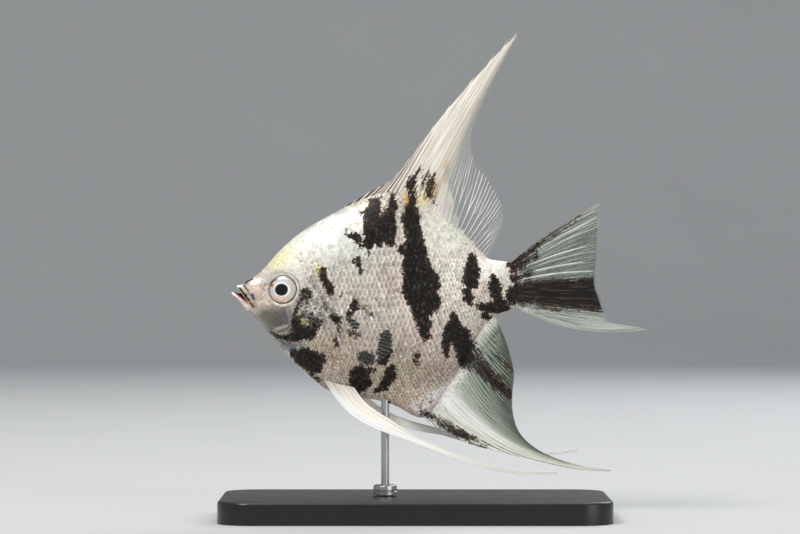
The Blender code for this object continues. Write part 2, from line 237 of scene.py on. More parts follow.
@dataclass(frozen=True)
class BodyForm:
    """The body without fins, as cross-sections: x, top, bottom, widest height, half width."""

    sections: Rows = (
        (-49.2, 60.4, 60.4, 60.4, 0),
        (-48.6, 61.3, 59.6, 60.4, 0.8),
        (-47.3, 62.4, 58.2, 60.2, 1.4),
        (-45.5, 63.4, 56.1, 59.8, 2),
        (-43, 64.8, 53.1, 59.4, 2.7),
        (-40.9, 65.9, 51.2, 59.3, 3.2),
        (-39.8, 67.2, 50.2, 59.2, 3.6),
        (-38, 69.7, 48.5, 59, 4),
        (-34.5, 73.3, 43.9, 58.6, 4.8),
        (-30, 77.1, 39.6, 58, 5.5),
        (-24, 80.6, 34.6, 57.5, 6.1),
        (-17, 84.2, 32.7, 57, 6.3),
        (-10, 86.9, 31.5, 57, 6.2),
        (-5, 86.8, 29.9, 57.5, 5.9),
        (0, 84.1, 27.2, 58, 5.4),
        (3.5, 82, 27.4, 58.5, 4.9),
        (7.5, 79.7, 32.3, 59.5, 4.3),
        (12, 76.3, 39.4, 60.5, 3.6),
        (16, 72.6, 47, 61.5, 2.9),
        (19.5, 69.7, 52.8, 62, 2.3),
        (23, 69, 54.9, 62.2, 1.9),
        (26, 68.4, 55.8, 62.2, 1.3),
        (27.4, 66.6, 57.6, 62.2, 0.8),
        (27.9, 62.2, 62.2, 62.2, 0),
    )
    keel: float = 1.3
    fineness: int = 1200

    def dense(self) -> Array:
        """The sections read closely, for looking values up by x."""
        return through(self.sections, np.linspace(0, len(self.sections) - 1, self.fineness))

    def at(self, x: Array) -> tuple[Array, Array, Array, Array]:
        """Top, bottom, widest height and half width of the sections at x.

        Args:
            x: places along the fish.

        Returns:
            The four, each for every place.
        """
        table = self.dense()
        read = [np.interp(x, table[:, 0], table[:, k]) for k in (1, 2, 3, 4)]
        return read[0], read[1], read[2], read[3]

    def rise(self, x: Array, z: Array) -> Array:
        """Height from the widest place: 1 at the back's ridge, -1 at the belly's.

        Args:
            x: places along the fish.
            z: heights.

        Returns:
            One number per place.
        """
        top, bottom, middle, _ = self.at(x)
        above = (z - middle) / np.maximum(top - middle, 1e-6)
        below = (z - middle) / np.maximum(middle - bottom, 1e-6)
        return np.where(z > middle, above, below)

    def flank(self, x: Array, z: Array) -> Array:
        """Distance of the surface from the middle plane at a place in the side view."""
        lift = np.clip(np.abs(self.rise(x, z)), 0, 1)
        return self.at(x)[3] * (1 - lift**2) ** (self.keel / 2)

    def ring(self, x: Array, around: Array) -> Array:
        """Points of the cross-sections at x: around is 0 on the right and a quarter turn on top.

        Args:
            x: places along the fish.
            around: angles in radians.

        Returns:
            x, y, z rows in millimetres.
        """
        top, bottom, middle, half = self.at(x)
        up, out = np.sin(around), np.cos(around)
        height = np.where(up > 0, (top - middle) * up, (middle - bottom) * up)
        width = half * np.sign(out) * np.abs(out) ** self.keel
        return np.stack([x + 0 * up, width, middle + height], axis=-1)

    @cache
    def girths(self) -> tuple[Array, Array, Array, Array]:
        """Measures round the sections at many x.

        Returns:
            The x places, the lengths over the skin from the widest line up to the back and
            down to the belly, and the angles at even shares from belly (-1) to back (1).
        """
        xs = np.linspace(-49.0, 27.7, 400)
        angles = np.linspace(-math.pi / 2, math.pi / 2, 241)
        grid_x, grid_angle = np.meshgrid(xs, angles, indexing="ij")
        ring = self.ring(grid_x.ravel(), grid_angle.ravel()).reshape(*grid_x.shape, 3)
        steps = np.hypot(np.diff(ring[..., 1]), np.diff(ring[..., 2]))
        arcs = np.concatenate([np.zeros((len(xs), 1)), np.cumsum(steps, axis=1)], axis=1)
        arcs -= arcs[:, [len(angles) // 2]]
        shares = np.linspace(-1, 1, 121)
        reach = [np.where(shares > 0, shares * arc[-1], -shares * arc[0]) for arc in arcs]
        found = np.array([np.interp(far, arc, angles) for far, arc in zip(reach, arcs)])
        return xs, arcs[:, -1], -arcs[:, 0], found

    def angle(self, x: Array, over: Array) -> Array:
        """The section angle at a length over the skin above the widest line, below 0 under it.

        Args:
            x: places along the fish.
            over: the lengths in millimetres.

        Returns:
            Angles from -90 to 90 degrees, in radians.
        """
        xs, above, below, found = self.girths()
        most = np.where(over > 0, np.interp(x, xs, above), np.interp(x, xs, below))
        rows, columns = found.shape
        i = np.clip((x - xs[0]) / (xs[1] - xs[0]), 0, rows - 1.001)
        j = (np.clip(over / most, -1, 1) + 1) / 2 * (columns - 1.001)
        i0, j0 = i.astype(int), j.astype(int)
        i, j = i - i0, j - j0
        near = found[i0, j0] * (1 - j) + found[i0, j0 + 1] * j
        far = found[i0 + 1, j0] * (1 - j) + found[i0 + 1, j0 + 1] * j
        return near * (1 - i) + far * i


FORM = BodyForm()
COAT_DEPTH = 0.12  # how far the scaled skin lies inside the solids
NO_BLACK = 9.0  # a distance from the black patches that no grain or streak makes up for

# Lines in the side view that the head's relief follows, each from top to bottom.
GILL_EDGE = (
    (-29.8, 66), (-28.9, 63.6), (-26.5, 60.8), (-24.8, 57.6), (-24.8, 53.6), (-26.2, 50.9),
    (-28.8, 48.9), (-33.4, 47.5), (-37, 48.7), (-39.6, 50.6),
)
CHEEK_EDGE = (
    (-31.2, 60.2), (-31.6, 57), (-32, 54.4), (-32.8, 52.2), (-34.4, 50.6), (-36.6, 50.2),
    (-38.8, 51.4),
)
SILVER_EDGE = ((-3, 29.6), (2, 32.4), (6, 34.6), (10, 37), (14, 41))
SILVER_REACH = 9.0  # how far the glitter runs out over the anal fin
EYE_PLACE = (-35.3, 61.3)
EYE_RADIUS = 3.7
EYE_OUT = 4.35  # of the eyeballs' middles from the middle plane
NOSTRIL = (-39.9, 62.3)


# ---------------------------------------------------------------- markings


# Black patches of the left side as tapering strokes: x, z, radius at one end, then at the
# other, and how black where that is less than fully.
BLACK_STROKES: Rows = (
    # twin patch under the front of the dorsal fin
    (-10.4, 84.8, 1.3, -11.2, 81.6, 2.1), (-11.3, 81.6, 2.3, -11.6, 76.6, 2.3),
    (-11.6, 76.6, 2.3, -11.9, 73.4, 1.3), (-13, 82.2, 0.8, -14.4, 81.6, 0.3),
    (-12, 85, 0.5, -9.2, 86.2, 0.4), (-13.2, 74.4, 0.6, -13.2, 72.8, 0.5),
    (-6.1, 86.6, 0.6, -6.1, 83.6, 1.3), (-6.1, 83.6, 1.3, -6.9, 80.6, 1.8),
    (-7, 80.2, 2.1, -7.2, 76.4, 2.4), (-7.2, 76.4, 2.3, -6.7, 73.8, 1.2),
    (-9.4, 80, 1.3, -9.4, 75.4, 1.8), (-9.2, 75.2, 1.4, -9.8, 73.2, 0.8),
    (-17, 75.6, 0.8, -15, 74.6, 1.1), (-16, 76.1, 0.4, -14.8, 75.5, 0.4),
    (-14.6, 73, 0.5, -12.6, 72.6, 0.6), (-12.6, 71, 0.5, -12.4, 70.7, 0.4),
    (-15.2, 69.8, 0.5, -14.8, 67.8, 0.8), (-14.7, 66.2, 0.6, -14.7, 66, 0.5),
    (-16.4, 69.2, 0.3, -16.2, 68.8, 0.3), (-18.2, 77.6, 0.3, -18.4, 76.3, 0.2),
    # the bar, from the dorsal fin down to the lower flank
    (1.6, 93.4, 0.3, -0.4, 90.8, 1), (-0.5, 90.6, 1.2, -1.2, 88.6, 1.3),
    (-1, 88.6, 1.1, -0.7, 84.8, 1.2, 0.9), (-0.9, 84.4, 1.1, -1.2, 80.4, 2.3),
    (2, 92, 0.2, 2.2, 89.2, 0.32), (2.9, 92, 0.24, 3, 88.4, 0.36),
    (3.9, 92.2, 0.26, 3.7, 88, 0.4), (4.8, 91.8, 0.26, 4.5, 87.2, 0.5),
    (3.3, 88.8, 0.5, 4.4, 86.4, 0.9), (4.4, 86.2, 0.8, 4.9, 85, 0.5),
    (-1.1, 80.2, 2.6, -0.5, 76, 2.1), (0.1, 75.4, 2.2, -0.1, 72.8, 2.9),
    (-3.8, 72.2, 0.9, -2.6, 71.5, 1.2), (-0.2, 73.2, 2.9, 0.2, 71, 3.1),
    (0, 70.5, 3.2, 0.5, 66.2, 3.8), (0.8, 65.3, 4.2, 1.4, 61.2, 4.9),
    (5.8, 65.2, 0.8, 5.4, 62.6, 1.5), (1.8, 61, 4.6, 2.6, 57.6, 3.8),
    (5.2, 58.4, 1.6, 5.8, 56.2, 1), (1.2, 57, 2.6, 2.2, 52.6, 2),
    (2.3, 52.3, 1.9, 3, 48.9, 1.3),
    # towards the tail
    (15.3, 70.2, 1, 15.2, 67, 2.1), (15.2, 66.4, 2.2, 14.8, 63.4, 2.1),
    (13.9, 60.8, 1.2, 14.1, 59.3, 1.4), (14.3, 58.6, 1.1, 14.9, 57.3, 0.5),
    (20.8, 64.6, 0.9, 21.2, 62.2, 1.6), (21.5, 61.6, 1.6, 21.8, 59.4, 1.5),
    (22, 59, 1.4, 22.6, 57.4, 2), (18, 56.6, 1.3, 23.6, 56.4, 2),
    (18.8, 54.6, 1.2, 19.6, 54, 0.9), (16.8, 57.4, 0.5, 17.4, 56.9, 0.6),
    (26.6, 59.6, 2.5, 28.8, 59.6, 2.9), (28, 60, 3.1, 53.5, 60.1, 5),
    (25.6, 68, 1.2, 34, 73.8, 0.5), (34, 73.9, 0.5, 44, 80.6, 0.05),
    (26.8, 67.2, 1.4, 32.6, 70.2, 0.4), (26.2, 64.2, 1.1, 30.6, 65.6, 0.9, 0.8),
    (27.4, 62.6, 0.8, 31, 63.4, 0.6, 0.5),
    # lower rear flank, running into the anal fin
    (10.2, 55, 0.6, 10.4, 52, 2), (10.2, 49.8, 2.9, 12.4, 48.4, 2.8),
    (8.2, 47.5, 1.2, 8.4, 43.6, 0.8), (12.8, 47.2, 2.5, 14, 43.2, 2.8),
    (14, 42.6, 2.6, 16.2, 41.2, 1.9), (16.4, 42.2, 1.8, 19, 38.9, 1.7),
    (19, 38.9, 1.7, 22.8, 35.6, 1.5, 0.9), (22.8, 35.6, 1.5, 26.4, 32.6, 1, 0.8),
    (24.6, 41.2, 0.3, 26.6, 39.2, 0.4), (21.6, 43.6, 0.2, 22.8, 42.4, 0.25),
    (15.4, 46, 1.1, 17.2, 42.6, 1.1), (5, 26.4, 0.6, 11.6, 22.6, 1.1),
    (11.6, 22.6, 1.1, 18.8, 19, 0.7), (1.6, 28.4, 0.5, 5, 26.8, 0.7),
    (0.3, 43.4, 0.8, 1, 43.6, 0.6), (-0.3, 42.2, 0.4, 0.9, 41.8, 0.4),
    # lower front flank
    (-14, 43.3, 1.4, -12.8, 42.9, 2), (-12.6, 40.4, 0.5, -10.8, 39.8, 0.4),
    (-7.9, 48.6, 1.7, -8, 46.6, 1.9, 0.9), (-7, 50.3, 0.3, -7.1, 51.6, 0.2),
    (-7.9, 45.2, 2, -8.5, 42.5, 1.6), (-14.9, 38, 2.8, -14.8, 36.6, 3),
    (-14.2, 40.6, 0.8, -14, 40.2, 0.8), (-13, 36.8, 1.6, -12.8, 36.4, 1.4),
    (-6.2, 40.2, 1.2, -7, 37.9, 1.8), (-7.3, 37.4, 1.6, -8.4, 35.4, 1.3),
    (-9.4, 34.5, 0.7, -10.9, 33.8, 0.5), (-7.6, 31.4, 0.5, -7, 31.2, 0.4),
    # around the pectoral fin
    (-16.1, 58.2, 0.7, -16.2, 56.5, 1.1, 0.95), (-17.3, 54.9, 0.9, -18, 53.9, 0.6),
    (-17.2, 53, 0.9, -15.9, 51.6, 1.2), (-22, 54.2, 0.9, -20.6, 53.2, 1.2),
    (-17.4, 49.9, 0.6, -15.2, 49.3, 0.7), (-21.4, 49, 0.6, -20.9, 46.6, 0.6, 0.8),
    (-20.4, 51.6, 0.8, -20.2, 50.4, 0.6, 0.6),
    (-13.2, 56.6, 0.6, -13, 55.8, 0.5, 0.6), (-12, 54.8, 0.5, -11.4, 54.4, 0.5, 0.6),
    # behind the eye
    (-24.3, 66.6, 0.8, -24.6, 64.8, 1.2), (-24.4, 64.4, 1, -23.8, 63, 0.7),
    (-23, 62.4, 0.9, -22.6, 60.8, 1.1), (-20.1, 59.8, 0.4, -19.9, 59.6, 0.4),
    (-29.4, 60.4, 1.2, -28.7, 59.9, 1.3), (-30, 59, 0.7, -31.3, 57, 0.5),
    (-31.4, 56.6, 0.45, -31.9, 54.4, 0.6),
    # lower gill cover
    (-27.4, 53.8, 1.2, -26.5, 52.4, 1.5), (-31.7, 53.2, 1.2, -31.2, 50.8, 2.1),
    (-26.9, 51.6, 1.5, -28, 50, 1.9), (-30.6, 49.9, 2.1, -28, 49.8, 2),
    (-33.4, 48.6, 1, -31, 49.2, 1.8), (-36.2, 48.5, 0.75, -33.4, 48.5, 1.1),
    (-38.6, 49.8, 0.3, -36.2, 48.6, 0.8), (-31, 54, 0.7, -27.8, 54.6, 0.8),
    (-30.4, 53.1, 0.9, -28.8, 52.4, 0.9, 0.1),
    # breast
    (-32.4, 43.9, 1.2, -29.5, 43, 2.6), (-29.5, 43, 2.8, -26.9, 42.4, 2.5),
    (-27.4, 41.2, 2.3, -26.2, 40.6, 1.7), (-24.9, 43.6, 0.8, -24.1, 42.4, 0.5),
    (-26.2, 37.4, 0.6, -25.7, 36.9, 0.4), (-27.6, 38.8, 0.9, -27.2, 38.6, 0.7, 0.9),
)

# Soft areas of colour over the base colour: x, z, half length, half height, sRGB, strength.
SKIN_BASE = "cfc7bc"
SKIN_TINTS: Strokes = (
    (-2, 58, 34, 17, "d8cec6", 0.9),
    (-24, 75, 15, 9, "d6dad7", 1),
    (8, 77, 9, 8, "dfe0d6", 0.95),
    (20, 68, 6, 4.5, "f8f6f2", 0.95),
    (10, 63, 6, 7, "f1ece3", 0.85),
    (-10, 40, 15, 10, "bcab9c", 0.9),
    (4, 38, 9, 8, "a6978a", 0.8),
    (-22, 46, 6, 6, "b59f8d", 0.8),
    (-3, 31, 10, 5, "e2ccb8", 0.9),
    (7, 31, 6, 3.6, "ffffff", 1),
    (14.5, 35.5, 5, 3, "f4f7f2", 0.9),
    (-23.5, 54.5, 3.6, 5, "d2d0ca", 0.9),
    (-37.5, 70.3, 5, 3.6, "e6e2b0", 0.9),
    (-34.6, 73.6, 4.4, 3, "e8e6cc", 0.8),
    (-43, 60.5, 4.4, 4, "c9b2a7", 1),
    (-39, 57, 4, 3, "c6b4a6", 0.9),
    (-36, 53, 5.4, 4.6, "57544e", 1),
    (-34.6, 54.2, 2, 2, "66606c", 0.6),
    (-39.6, 54.6, 2.4, 1.8, "626a58", 0.7),
    (-31, 64.5, 5, 3, "e2e0d8", 0.8),
    (-28.4, 56.8, 2.4, 2.2, "857f72", 0.9),
    (-33.5, 46.4, 4, 1.5, "77797c", 0.9),
    (-28.4, 53.6, 2.6, 1.8, "4c452b", 0.95),
    (26.8, 67.2, 2, 2, "c48e86", 0.85),
    (2.2, 86.2, 3, 2.6, "e6d08c", 0.9),
    (-2, 86.6, 1.6, 3, "d0a040", 0.7),
    (-25.8, 66.6, 1.5, 1.5, "d9d07c", 0.9),
    (-29.5, 52.9, 1.2, 1, "b9b040", 0.95),
    (-22.1, 52.2, 1.5, 1, "f6ded6", 0.9),
)


# Small soft strokes of colour on the face: x, z, radius at each end, sRGB, strength.
FACE_STROKES: Strokes = (
    # cheek plate, its pale rim, the skin between it and the eye, and a painted highlight on the snout
    (-40.5, 54.2, 1.3, -36, 52.7, 2, "6c6762", 0.35),
    (-42.4, 56.1, 0.3, -35.6, 56.7, 0.4, "b9b0a5", 0.4),
    (-34, 55.6, 0.3, -33.4, 52.6, 0.4, "aaa39c", 0.4),
    (-34.2, 51.6, 0.4, -37.4, 50.6, 0.5, "bdb6ad", 0.6),
    (-41.6, 57.9, 0.5, -38.6, 57.4, 0.5, "e4dcc6", 0.6),
    (-40, 60, 0.8, -39.6, 58.4, 0.7, "ecd9cf", 0.6),
    # painted highlight on the snout
    (-43.2, 63.2, 0.7, -41.6, 63.6, 0.8, "f3e7e2", 0.8),
    (-44, 61.4, 0.6, -42, 61, 0.8, "dfc9c2", 0.6),
    # lower lip and chin
    (-48.8, 60.2, 0.55, -45, 56.5, 0.7, "ffe9e2", 1),
    (-48.2, 60.5, 0.22, -45.2, 57.9, 0.26, "dda48c", 0.9),
    (-44.4, 55.4, 0.5, -42.6, 53.6, 0.5, "9f958c", 0.7),
    # upper lip, its folds and the corner of the mouth
    (-47.5, 62.3, 0.4, -46.5, 62.3, 0.4, "eee9e3", 1),
    (-46.9, 61.5, 0.24, -45.3, 59.5, 0.34, "191716", 1),
    (-45.3, 59.5, 0.32, -44.4, 58.2, 0.3, "241a17", 1),
    (-46.3, 62.1, 0.2, -45.1, 60.9, 0.16, "b9b8ae", 0.9),
    (-45.4, 60.6, 0.2, -44.5, 59.6, 0.16, "8f9186", 0.8),
    (-45.8, 62.4, 0.2, -44.7, 61.1, 0.2, "2c2826", 0.85),
    (-44.7, 61.1, 0.18, -44, 59.9, 0.2, "3a3431", 0.75),
    (-45.2, 62.8, 0.16, -44.6, 62.2, 0.12, "cfc8c0", 0.6),
    (-43.7, 59.8, 0.36, -43.1, 58.9, 0.46, "39425a", 0.95),
    (-45.1, 58.5, 0.16, -44, 57.4, 0.2, "c07a40", 0.95),
    (-44.1, 57.9, 0.26, -43.2, 56.8, 0.34, "40281e", 0.9),
    (-43.9, 57, 0.16, -43.5, 56.5, 0.16, "8f6040", 0.8),
    (-42.9, 57.9, 0.2, -42.6, 57.4, 0.2, "4f4342", 0.7),
    (-42.5, 56.9, 0.16, -42.4, 56.6, 0.16, "6a5751", 0.7),
    (-46.2, 62.8, 0.2, -45.2, 63.3, 0.34, "24201e", 0.95),
    (-45.2, 63.1, 0.36, -43.7, 63.9, 0.26, "2a2522", 0.95),
    (-44, 64.15, 0.12, -43.3, 64.4, 0.12, "4b443f", 0.7),
    # freckles round the nostril and under the eye
    (-40.35, 62.25, 0.2, -40.2, 62.5, 0.16, "a9803f", 0.9),
    (-39.8, 61.95, 0.14, -39.7, 62, 0.14, "8a6238", 0.8),
    (-40.5, 61.6, 0.14, -40.4, 61.6, 0.14, "a07a58", 0.7),
    (-38.6, 57.2, 0.16, -38.4, 57.2, 0.16, "8a7a66", 0.6),
    (-36.9, 56.9, 0.14, -36.7, 56.9, 0.14, "8a7a66", 0.6),
    # under the dark crescent of the gill cover
    (-33.8, 47.3, 0.22, -29.8, 47.7, 0.24, "b98a78", 0.85),
    (-35.4, 46.8, 0.4, -31.4, 45.9, 0.7, "6f7276", 0.8),
    (-33.2, 45.1, 0.5, -31.8, 45.3, 0.4, "2c3658", 0.9),
)

# Strokes of colour on the fins, in the same form.
FIN_STROKES: Strokes = (
    (-2, 84.6, 1.2, -1, 88.4, 1, "d0a03c", 0.8),
    (0.8, 85, 1.4, 4.4, 87.4, 1.4, "ead68e", 0.85),
    (1.2, 87.4, 0.3, 1.5, 88.6, 0.25, "6a4a1c", 0.9),
    (2.4, 86.6, 0.3, 2.6, 85.2, 0.25, "6c4e20", 0.9),
    (0.9, 85.8, 0.25, 1.3, 86.3, 0.25, "6a4a1c", 0.9),
    (1.9, 88.2, 0.25, 2.3, 89.6, 0.2, "4a3414", 0.9),
    (3.4, 87.4, 0.25, 3.6, 86, 0.25, "5a3e1a", 0.9),
    (2.6, 88, 0.4, 3.2, 90.6, 0.3, "e8cf8a", 0.8),
    (5.4, 86.4, 0.7, 6, 90.4, 0.7, "d9b98c", 0.8),
    (6.6, 90.6, 0.6, 7, 93.6, 0.4, "dceaf0", 0.4),
    (8, 90, 0.5, 8.6, 95, 0.5, "d0a878", 0.5),
    (25.8, 66.8, 0.9, 28.4, 67.4, 0.8, "b9635a", 0.8),
    (27.6, 68.8, 0.16, 29.2, 69.8, 0.16, "8fa6c4", 0.9),
    (28.6, 66.4, 0.16, 30.2, 67, 0.16, "9ab0c8", 0.9),
    (29.4, 64.6, 0.16, 31, 64.9, 0.16, "a8bccc", 0.9),
    (27.8, 62.6, 0.14, 29, 63.4, 0.14, "9ab0c8", 0.8),
    (2, 28.4, 0.8, 9.5, 25.4, 0.7, "8f7868", 0.75),
    (30.5, 56.5, 0.35, 38, 54.6, 0.3, "f0e6de", 0.8),
    (32, 56.4, 0.25, 41, 55.2, 0.35, "6b6050", 0.85),
    (41, 55.2, 0.35, 50, 54.2, 0.3, "777162", 0.8),
    (35, 55, 0.15, 46, 53.4, 0.2, "8a8270", 0.8),
    (32, 55, 0.12, 44, 51.9, 0.18, "8f8874", 0.8),
    (38, 54.3, 0.12, 50, 52.6, 0.15, "f4f6f2", 0.8),
)


@dataclass(frozen=True)
class Markings:
    """The fish's pattern, read by skin, scales and fins alike."""

    edge_lump: float = 1.2  # size of the patches' lumpy edges
    edge_reach: float = 0.28  # how far the lumps reach
    right_shift: tuple[float, float] = (3.2, 2.6)  # how far the right side's pattern is bent
    tint_power: float = 1.4  # how sharply tints end
    # Soft areas where the scales' edges hardly show: x, z, half length and half height.
    plain_nape: Sequence[float] = (-24.0, 79.0, 13.0, 11.0)
    fine_back: Sequence[float] = (9.0, 77.0, 9.5, 8.0)
    fine_stalk: Sequence[float] = (21.0, 67.5, 6.5, 4.5)
    # The gill cover's crinkled areas in the same form, each after its strength.
    crinkles: Rows = (
        (1.0, -27.4, 56.6, 3.8, 4.8), (0.9, -24.2, 55.0, 2.6, 4.4), (0.5, -27.0, 63.0, 3.0, 2.6),
    )

    def place(self, points: Array) -> tuple[Array, Array]:
        """Where on the pattern a point of the surface lies.

        The right side has the same pattern drawn out of place, more so away from the back's
        and belly's ridges, so the sides differ and still meet.

        Args:
            points: x, y, z rows in millimetres.

        Returns:
            Pattern x and pattern z.
        """
        x, y, z = points.T
        inside = 1 - np.clip(np.abs(FORM.rise(x, z)), 0, 1) ** 3
        amount = np.where(y > 0, inside * smooth(y / 1.5), 0.0)
        shift_x, shift_z = self.right_shift
        bent_x = x + amount * shift_x * (np.sin(z / 7.5 + 0.6) + 0.15 * np.sin(z / 3.1))
        bent_z = z + amount * shift_z * np.sin(x / 8.0 + 1.1)
        return bent_x, bent_z

    def black(self, points: Array) -> Array:
        """How far a point lies inside a black patch, in millimetres, below 0 outside.

        Args:
            points: x, y, z rows in millimetres.

        Returns:
            One distance per point.
        """
        x, z = self.place(points)
        best = np.full(len(points), -NO_BLACK)
        for ax, az, start, bx, bz, end, *depth in BLACK_STROKES:
            t, gap, _ = near_segment(x, z, (ax, az), (bx, bz))
            inside = start + (end - start) * t - gap
            share = depth[0] if depth else 1.0
            best = np.maximum(best, np.where(inside > 0, inside * share, inside))
        seen = np.stack([x, z], axis=1)
        lumps = rough(seen, self.edge_lump, 5) + 0.9 * rough(seen, self.edge_lump / 2.2, 6)
        return best + 0.08 + lumps * self.edge_reach

    def silver(self, points: Array) -> Array:
        """How far a point belongs to the glittering patch above the anal fin, from 0 to 1.

        Args:
            points: x, y, z rows in millimetres.

        Returns:
            One number per point.
        """
        x, z = points[:, 0], points[:, 2]
        line = edge_distance(x, z, SILVER_EDGE) + 0.6 * rough(points[:, [0, 2]], 1.6, 31)
        return smooth(0.5 - line / 1.6) * smooth((x + 4.0) / 3.0)

    def lace(self, points: Array) -> Array:
        """How strongly the net of scale edges shows at a point, from 0 to 1.

        Args:
            points: x, y, z rows in millimetres.

        Returns:
            One number per point.
        """
        x, z = points[:, 0], points[:, 2]
        plain = oval(x, z, self.plain_nape, 1.6)
        fine = np.maximum(oval(x, z, self.fine_back), oval(x, z, self.fine_stalk))
        net = 0.7 - 0.7 * plain - 0.6 * fine
        return np.clip(net, 0, 1) * (1 - 0.85 * self.silver(points))

    def tint(self, points: Array) -> Array:
        """The colour under the black, as linear RGBA rows.

        Args:
            points: x, y, z rows in millimetres.

        Returns:
            One row per point.
        """
        x, z = points[:, 0], points[:, 2]
        colour = np.tile(np.array(srgb(SKIN_BASE)), (len(points), 1))
        for *zone, code, strength in SKIN_TINTS:
            blend(colour, code, strength * oval(x, z, zone, self.tint_power))
        blend(colour, "cabeb5", 0.95 * self.silver(points))
        # painted sheen: the colour drifts slowly towards pink or green
        sheen = rough(points[:, [0, 2]], 5.0, 41)
        colour[:, :3] *= 1 + sheen[:, None] * np.array([0.04, -0.015, 0.015])
        return colour

    def paint(self, points: Array, colour: Array, strokes: Strokes) -> None:
        """Draws soft strokes over colours in place.

        Args:
            points: x, y, z rows in millimetres.
            colour: their linear RGBA rows.
            strokes: x, z and radius of both ends, an sRGB colour and a strength.
        """
        flat = points[:, [0, 2]]
        x = points[:, 0] + 0.2 * rough(flat, 0.8, 51) + 0.12 * rough(flat, 0.3, 53)
        z = points[:, 2] + 0.2 * rough(flat, 0.8, 52) + 0.12 * rough(flat, 0.3, 54)
        for ax, az, start, bx, bz, end, code, strength in strokes:
            t, gap, _ = near_segment(x, z, (ax, az), (bx, bz))
            radius = start + (end - start) * t
            blend(colour, code, strength * smooth(0.5 + (radius - gap) / (0.9 * radius)))

    def crinkled(self, points: Array) -> Array:
        """How far a point belongs to the gill cover's crinkled area, from 0 to 1.

        Args:
            points: x, y, z rows in millimetres.

        Returns:
            One number per point.
        """
        x, _, z = points.T
        areas = [share * oval(x, z, zone) for share, *zone in self.crinkles]
        return np.max(areas, axis=0)

    def crinkle(self, points: Array, colour: Array) -> Array:
        """Draws the gill cover's crinkled silver net over colours in place.

        Args:
            points: x, y, z rows in millimetres.
            colour: their linear RGBA rows.

        Returns:
            How much each point stands out, from 0 to 1.
        """
        area = self.crinkled(points)
        seen = points[:, [0, 2, 1]]
        net = 1 - np.abs(rough(seen, 1.0, 21)) * 4.6
        net = np.maximum(net, 1 - np.abs(rough(seen, 0.62, 22)) * 4.0)
        ridge = smooth(net) * area
        blend(colour, "49443a", 0.88 * area)
        blend(colour, "dddcd6", 0.6 * ridge)
        return ridge


MARKINGS = Markings()


# ---------------------------------------------------------------- meshes


def linked(name: str, data: Mesh | Light | Camera) -> Object:
    """Puts an object into the scene.

    Args:
        name: the object's name.
        data: its mesh, light or camera.

    Returns:
        The object.
    """
    obj = bpy.data.objects.new(name, data)
    bpy.context.scene.collection.objects.link(obj)
    return obj


def mesh_from(bm: BMesh, name: str, scale: float = MM) -> Mesh:
    """Turns a bmesh drawn in millimetres into a mesh in metres.

    Args:
        bm: the bmesh, which is freed.
        name: the mesh's name.
        scale: metres per unit of the bmesh.

    Returns:
        The mesh, shaded smooth.
    """
    bmesh.ops.scale(bm, vec=(scale, scale, scale), verts=bm.verts)
    mesh = bpy.data.meshes.new(name)
    bm.to_mesh(mesh)
    bm.free()
    mesh.shade_smooth()
    return mesh


def coordinates(mesh: Mesh) -> Array:
    """The vertices of a mesh as rows.

    Args:
        mesh: the mesh.

    Returns:
        x, y, z rows.
    """
    flat = np.empty(len(mesh.vertices) * 3, np.float32)
    mesh.vertices.foreach_get("co", flat)
    return flat.reshape(-1, 3).astype(float)


def move_to(mesh: Mesh, points: Array) -> None:
    """Moves the vertices of a mesh to rows given in millimetres."""
    mesh.vertices.foreach_set("co", (points * MM).astype(np.float32).ravel())
    mesh.update()


def store(mesh: Mesh, **values: Array) -> None:
    """Stores one number or one linear colour per vertex under each name.

    Args:
        mesh: the mesh.
        values: a number or an RGBA row for each vertex.
    """
    for name, rows in values.items():
        kind, field = ("FLOAT", "value") if rows.ndim == 1 else ("FLOAT_COLOR", "color")
        layer = mesh.attributes.new(name, kind, "POINT")
        layer.data.foreach_set(field, rows.astype(np.float32).ravel())


def unwrap(mesh: Mesh, per_vertex: Array) -> None:
    """Gives the mesh the map named OFBake from one UV pair per vertex.

    Args:
        mesh: the mesh.
        per_vertex: UV rows.
    """
    layer = mesh.uv_layers.new(name="OFBake")
    corners = np.empty(len(mesh.loops), np.int32)
    mesh.loops.foreach_get("vertex_index", corners)
    layer.data.foreach_set("uv", per_vertex[corners].astype(np.float32).ravel())


def piece(name: str, mesh: Mesh, finish: Material, slot: str, *nodes: str) -> Object:
    """Makes a piece of the model and hands it to the frame.

    Args:
        name: the piece's name.
        mesh: its finished mesh.
        finish: its material.
        slot: the name of a material slot; not used.
        nodes: the solids it stands for.

    Returns:
        The piece.
    """
    mesh.name = name
    mesh.materials.append(finish)
    obj = linked(name, mesh)
    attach(obj, BODY_NAME)
    if nodes:
        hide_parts(*nodes)
    log.info("%s: %d faces", name, len(mesh.polygons))
    return obj


# ---------------------------------------------------------------- finishes


def add(
    tree: NodeTree, kind: str, inputs: Sequence | dict = (), **settings: object
) -> Node:
    """Adds one node with its settings and links.

    Args:
        tree: the material's node tree.
        kind: the node's type, without the prefix that all shader nodes share.
        inputs: values for the inputs in use, in order or by name. A node or a socket is
            linked, anything else is set, and None leaves the input alone.
        settings: values of the node's own properties.

    Returns:
        The node.
    """
    node = tree.nodes.new("ShaderNode" + kind)
    for key, value in settings.items():
        setattr(node, key, value)
    used = [socket for socket in node.inputs if socket.enabled]
    named = inputs if isinstance(inputs, dict) else dict(zip(used, inputs))
    for key, value in named.items():
        socket = node.inputs[key] if isinstance(key, str) else key
        if isinstance(value, Node):
            value = next(out for out in value.outputs if out.enabled)
        if isinstance(value, NodeSocket):
            tree.links.new(value, socket)
        elif value is not None:
            socket.default_value = value
    return node


def per_mm(size: float) -> float:
    """The scale of a pattern on coordinates in metres whose parts are this many mm apart."""
    return 1 / (size * MM)


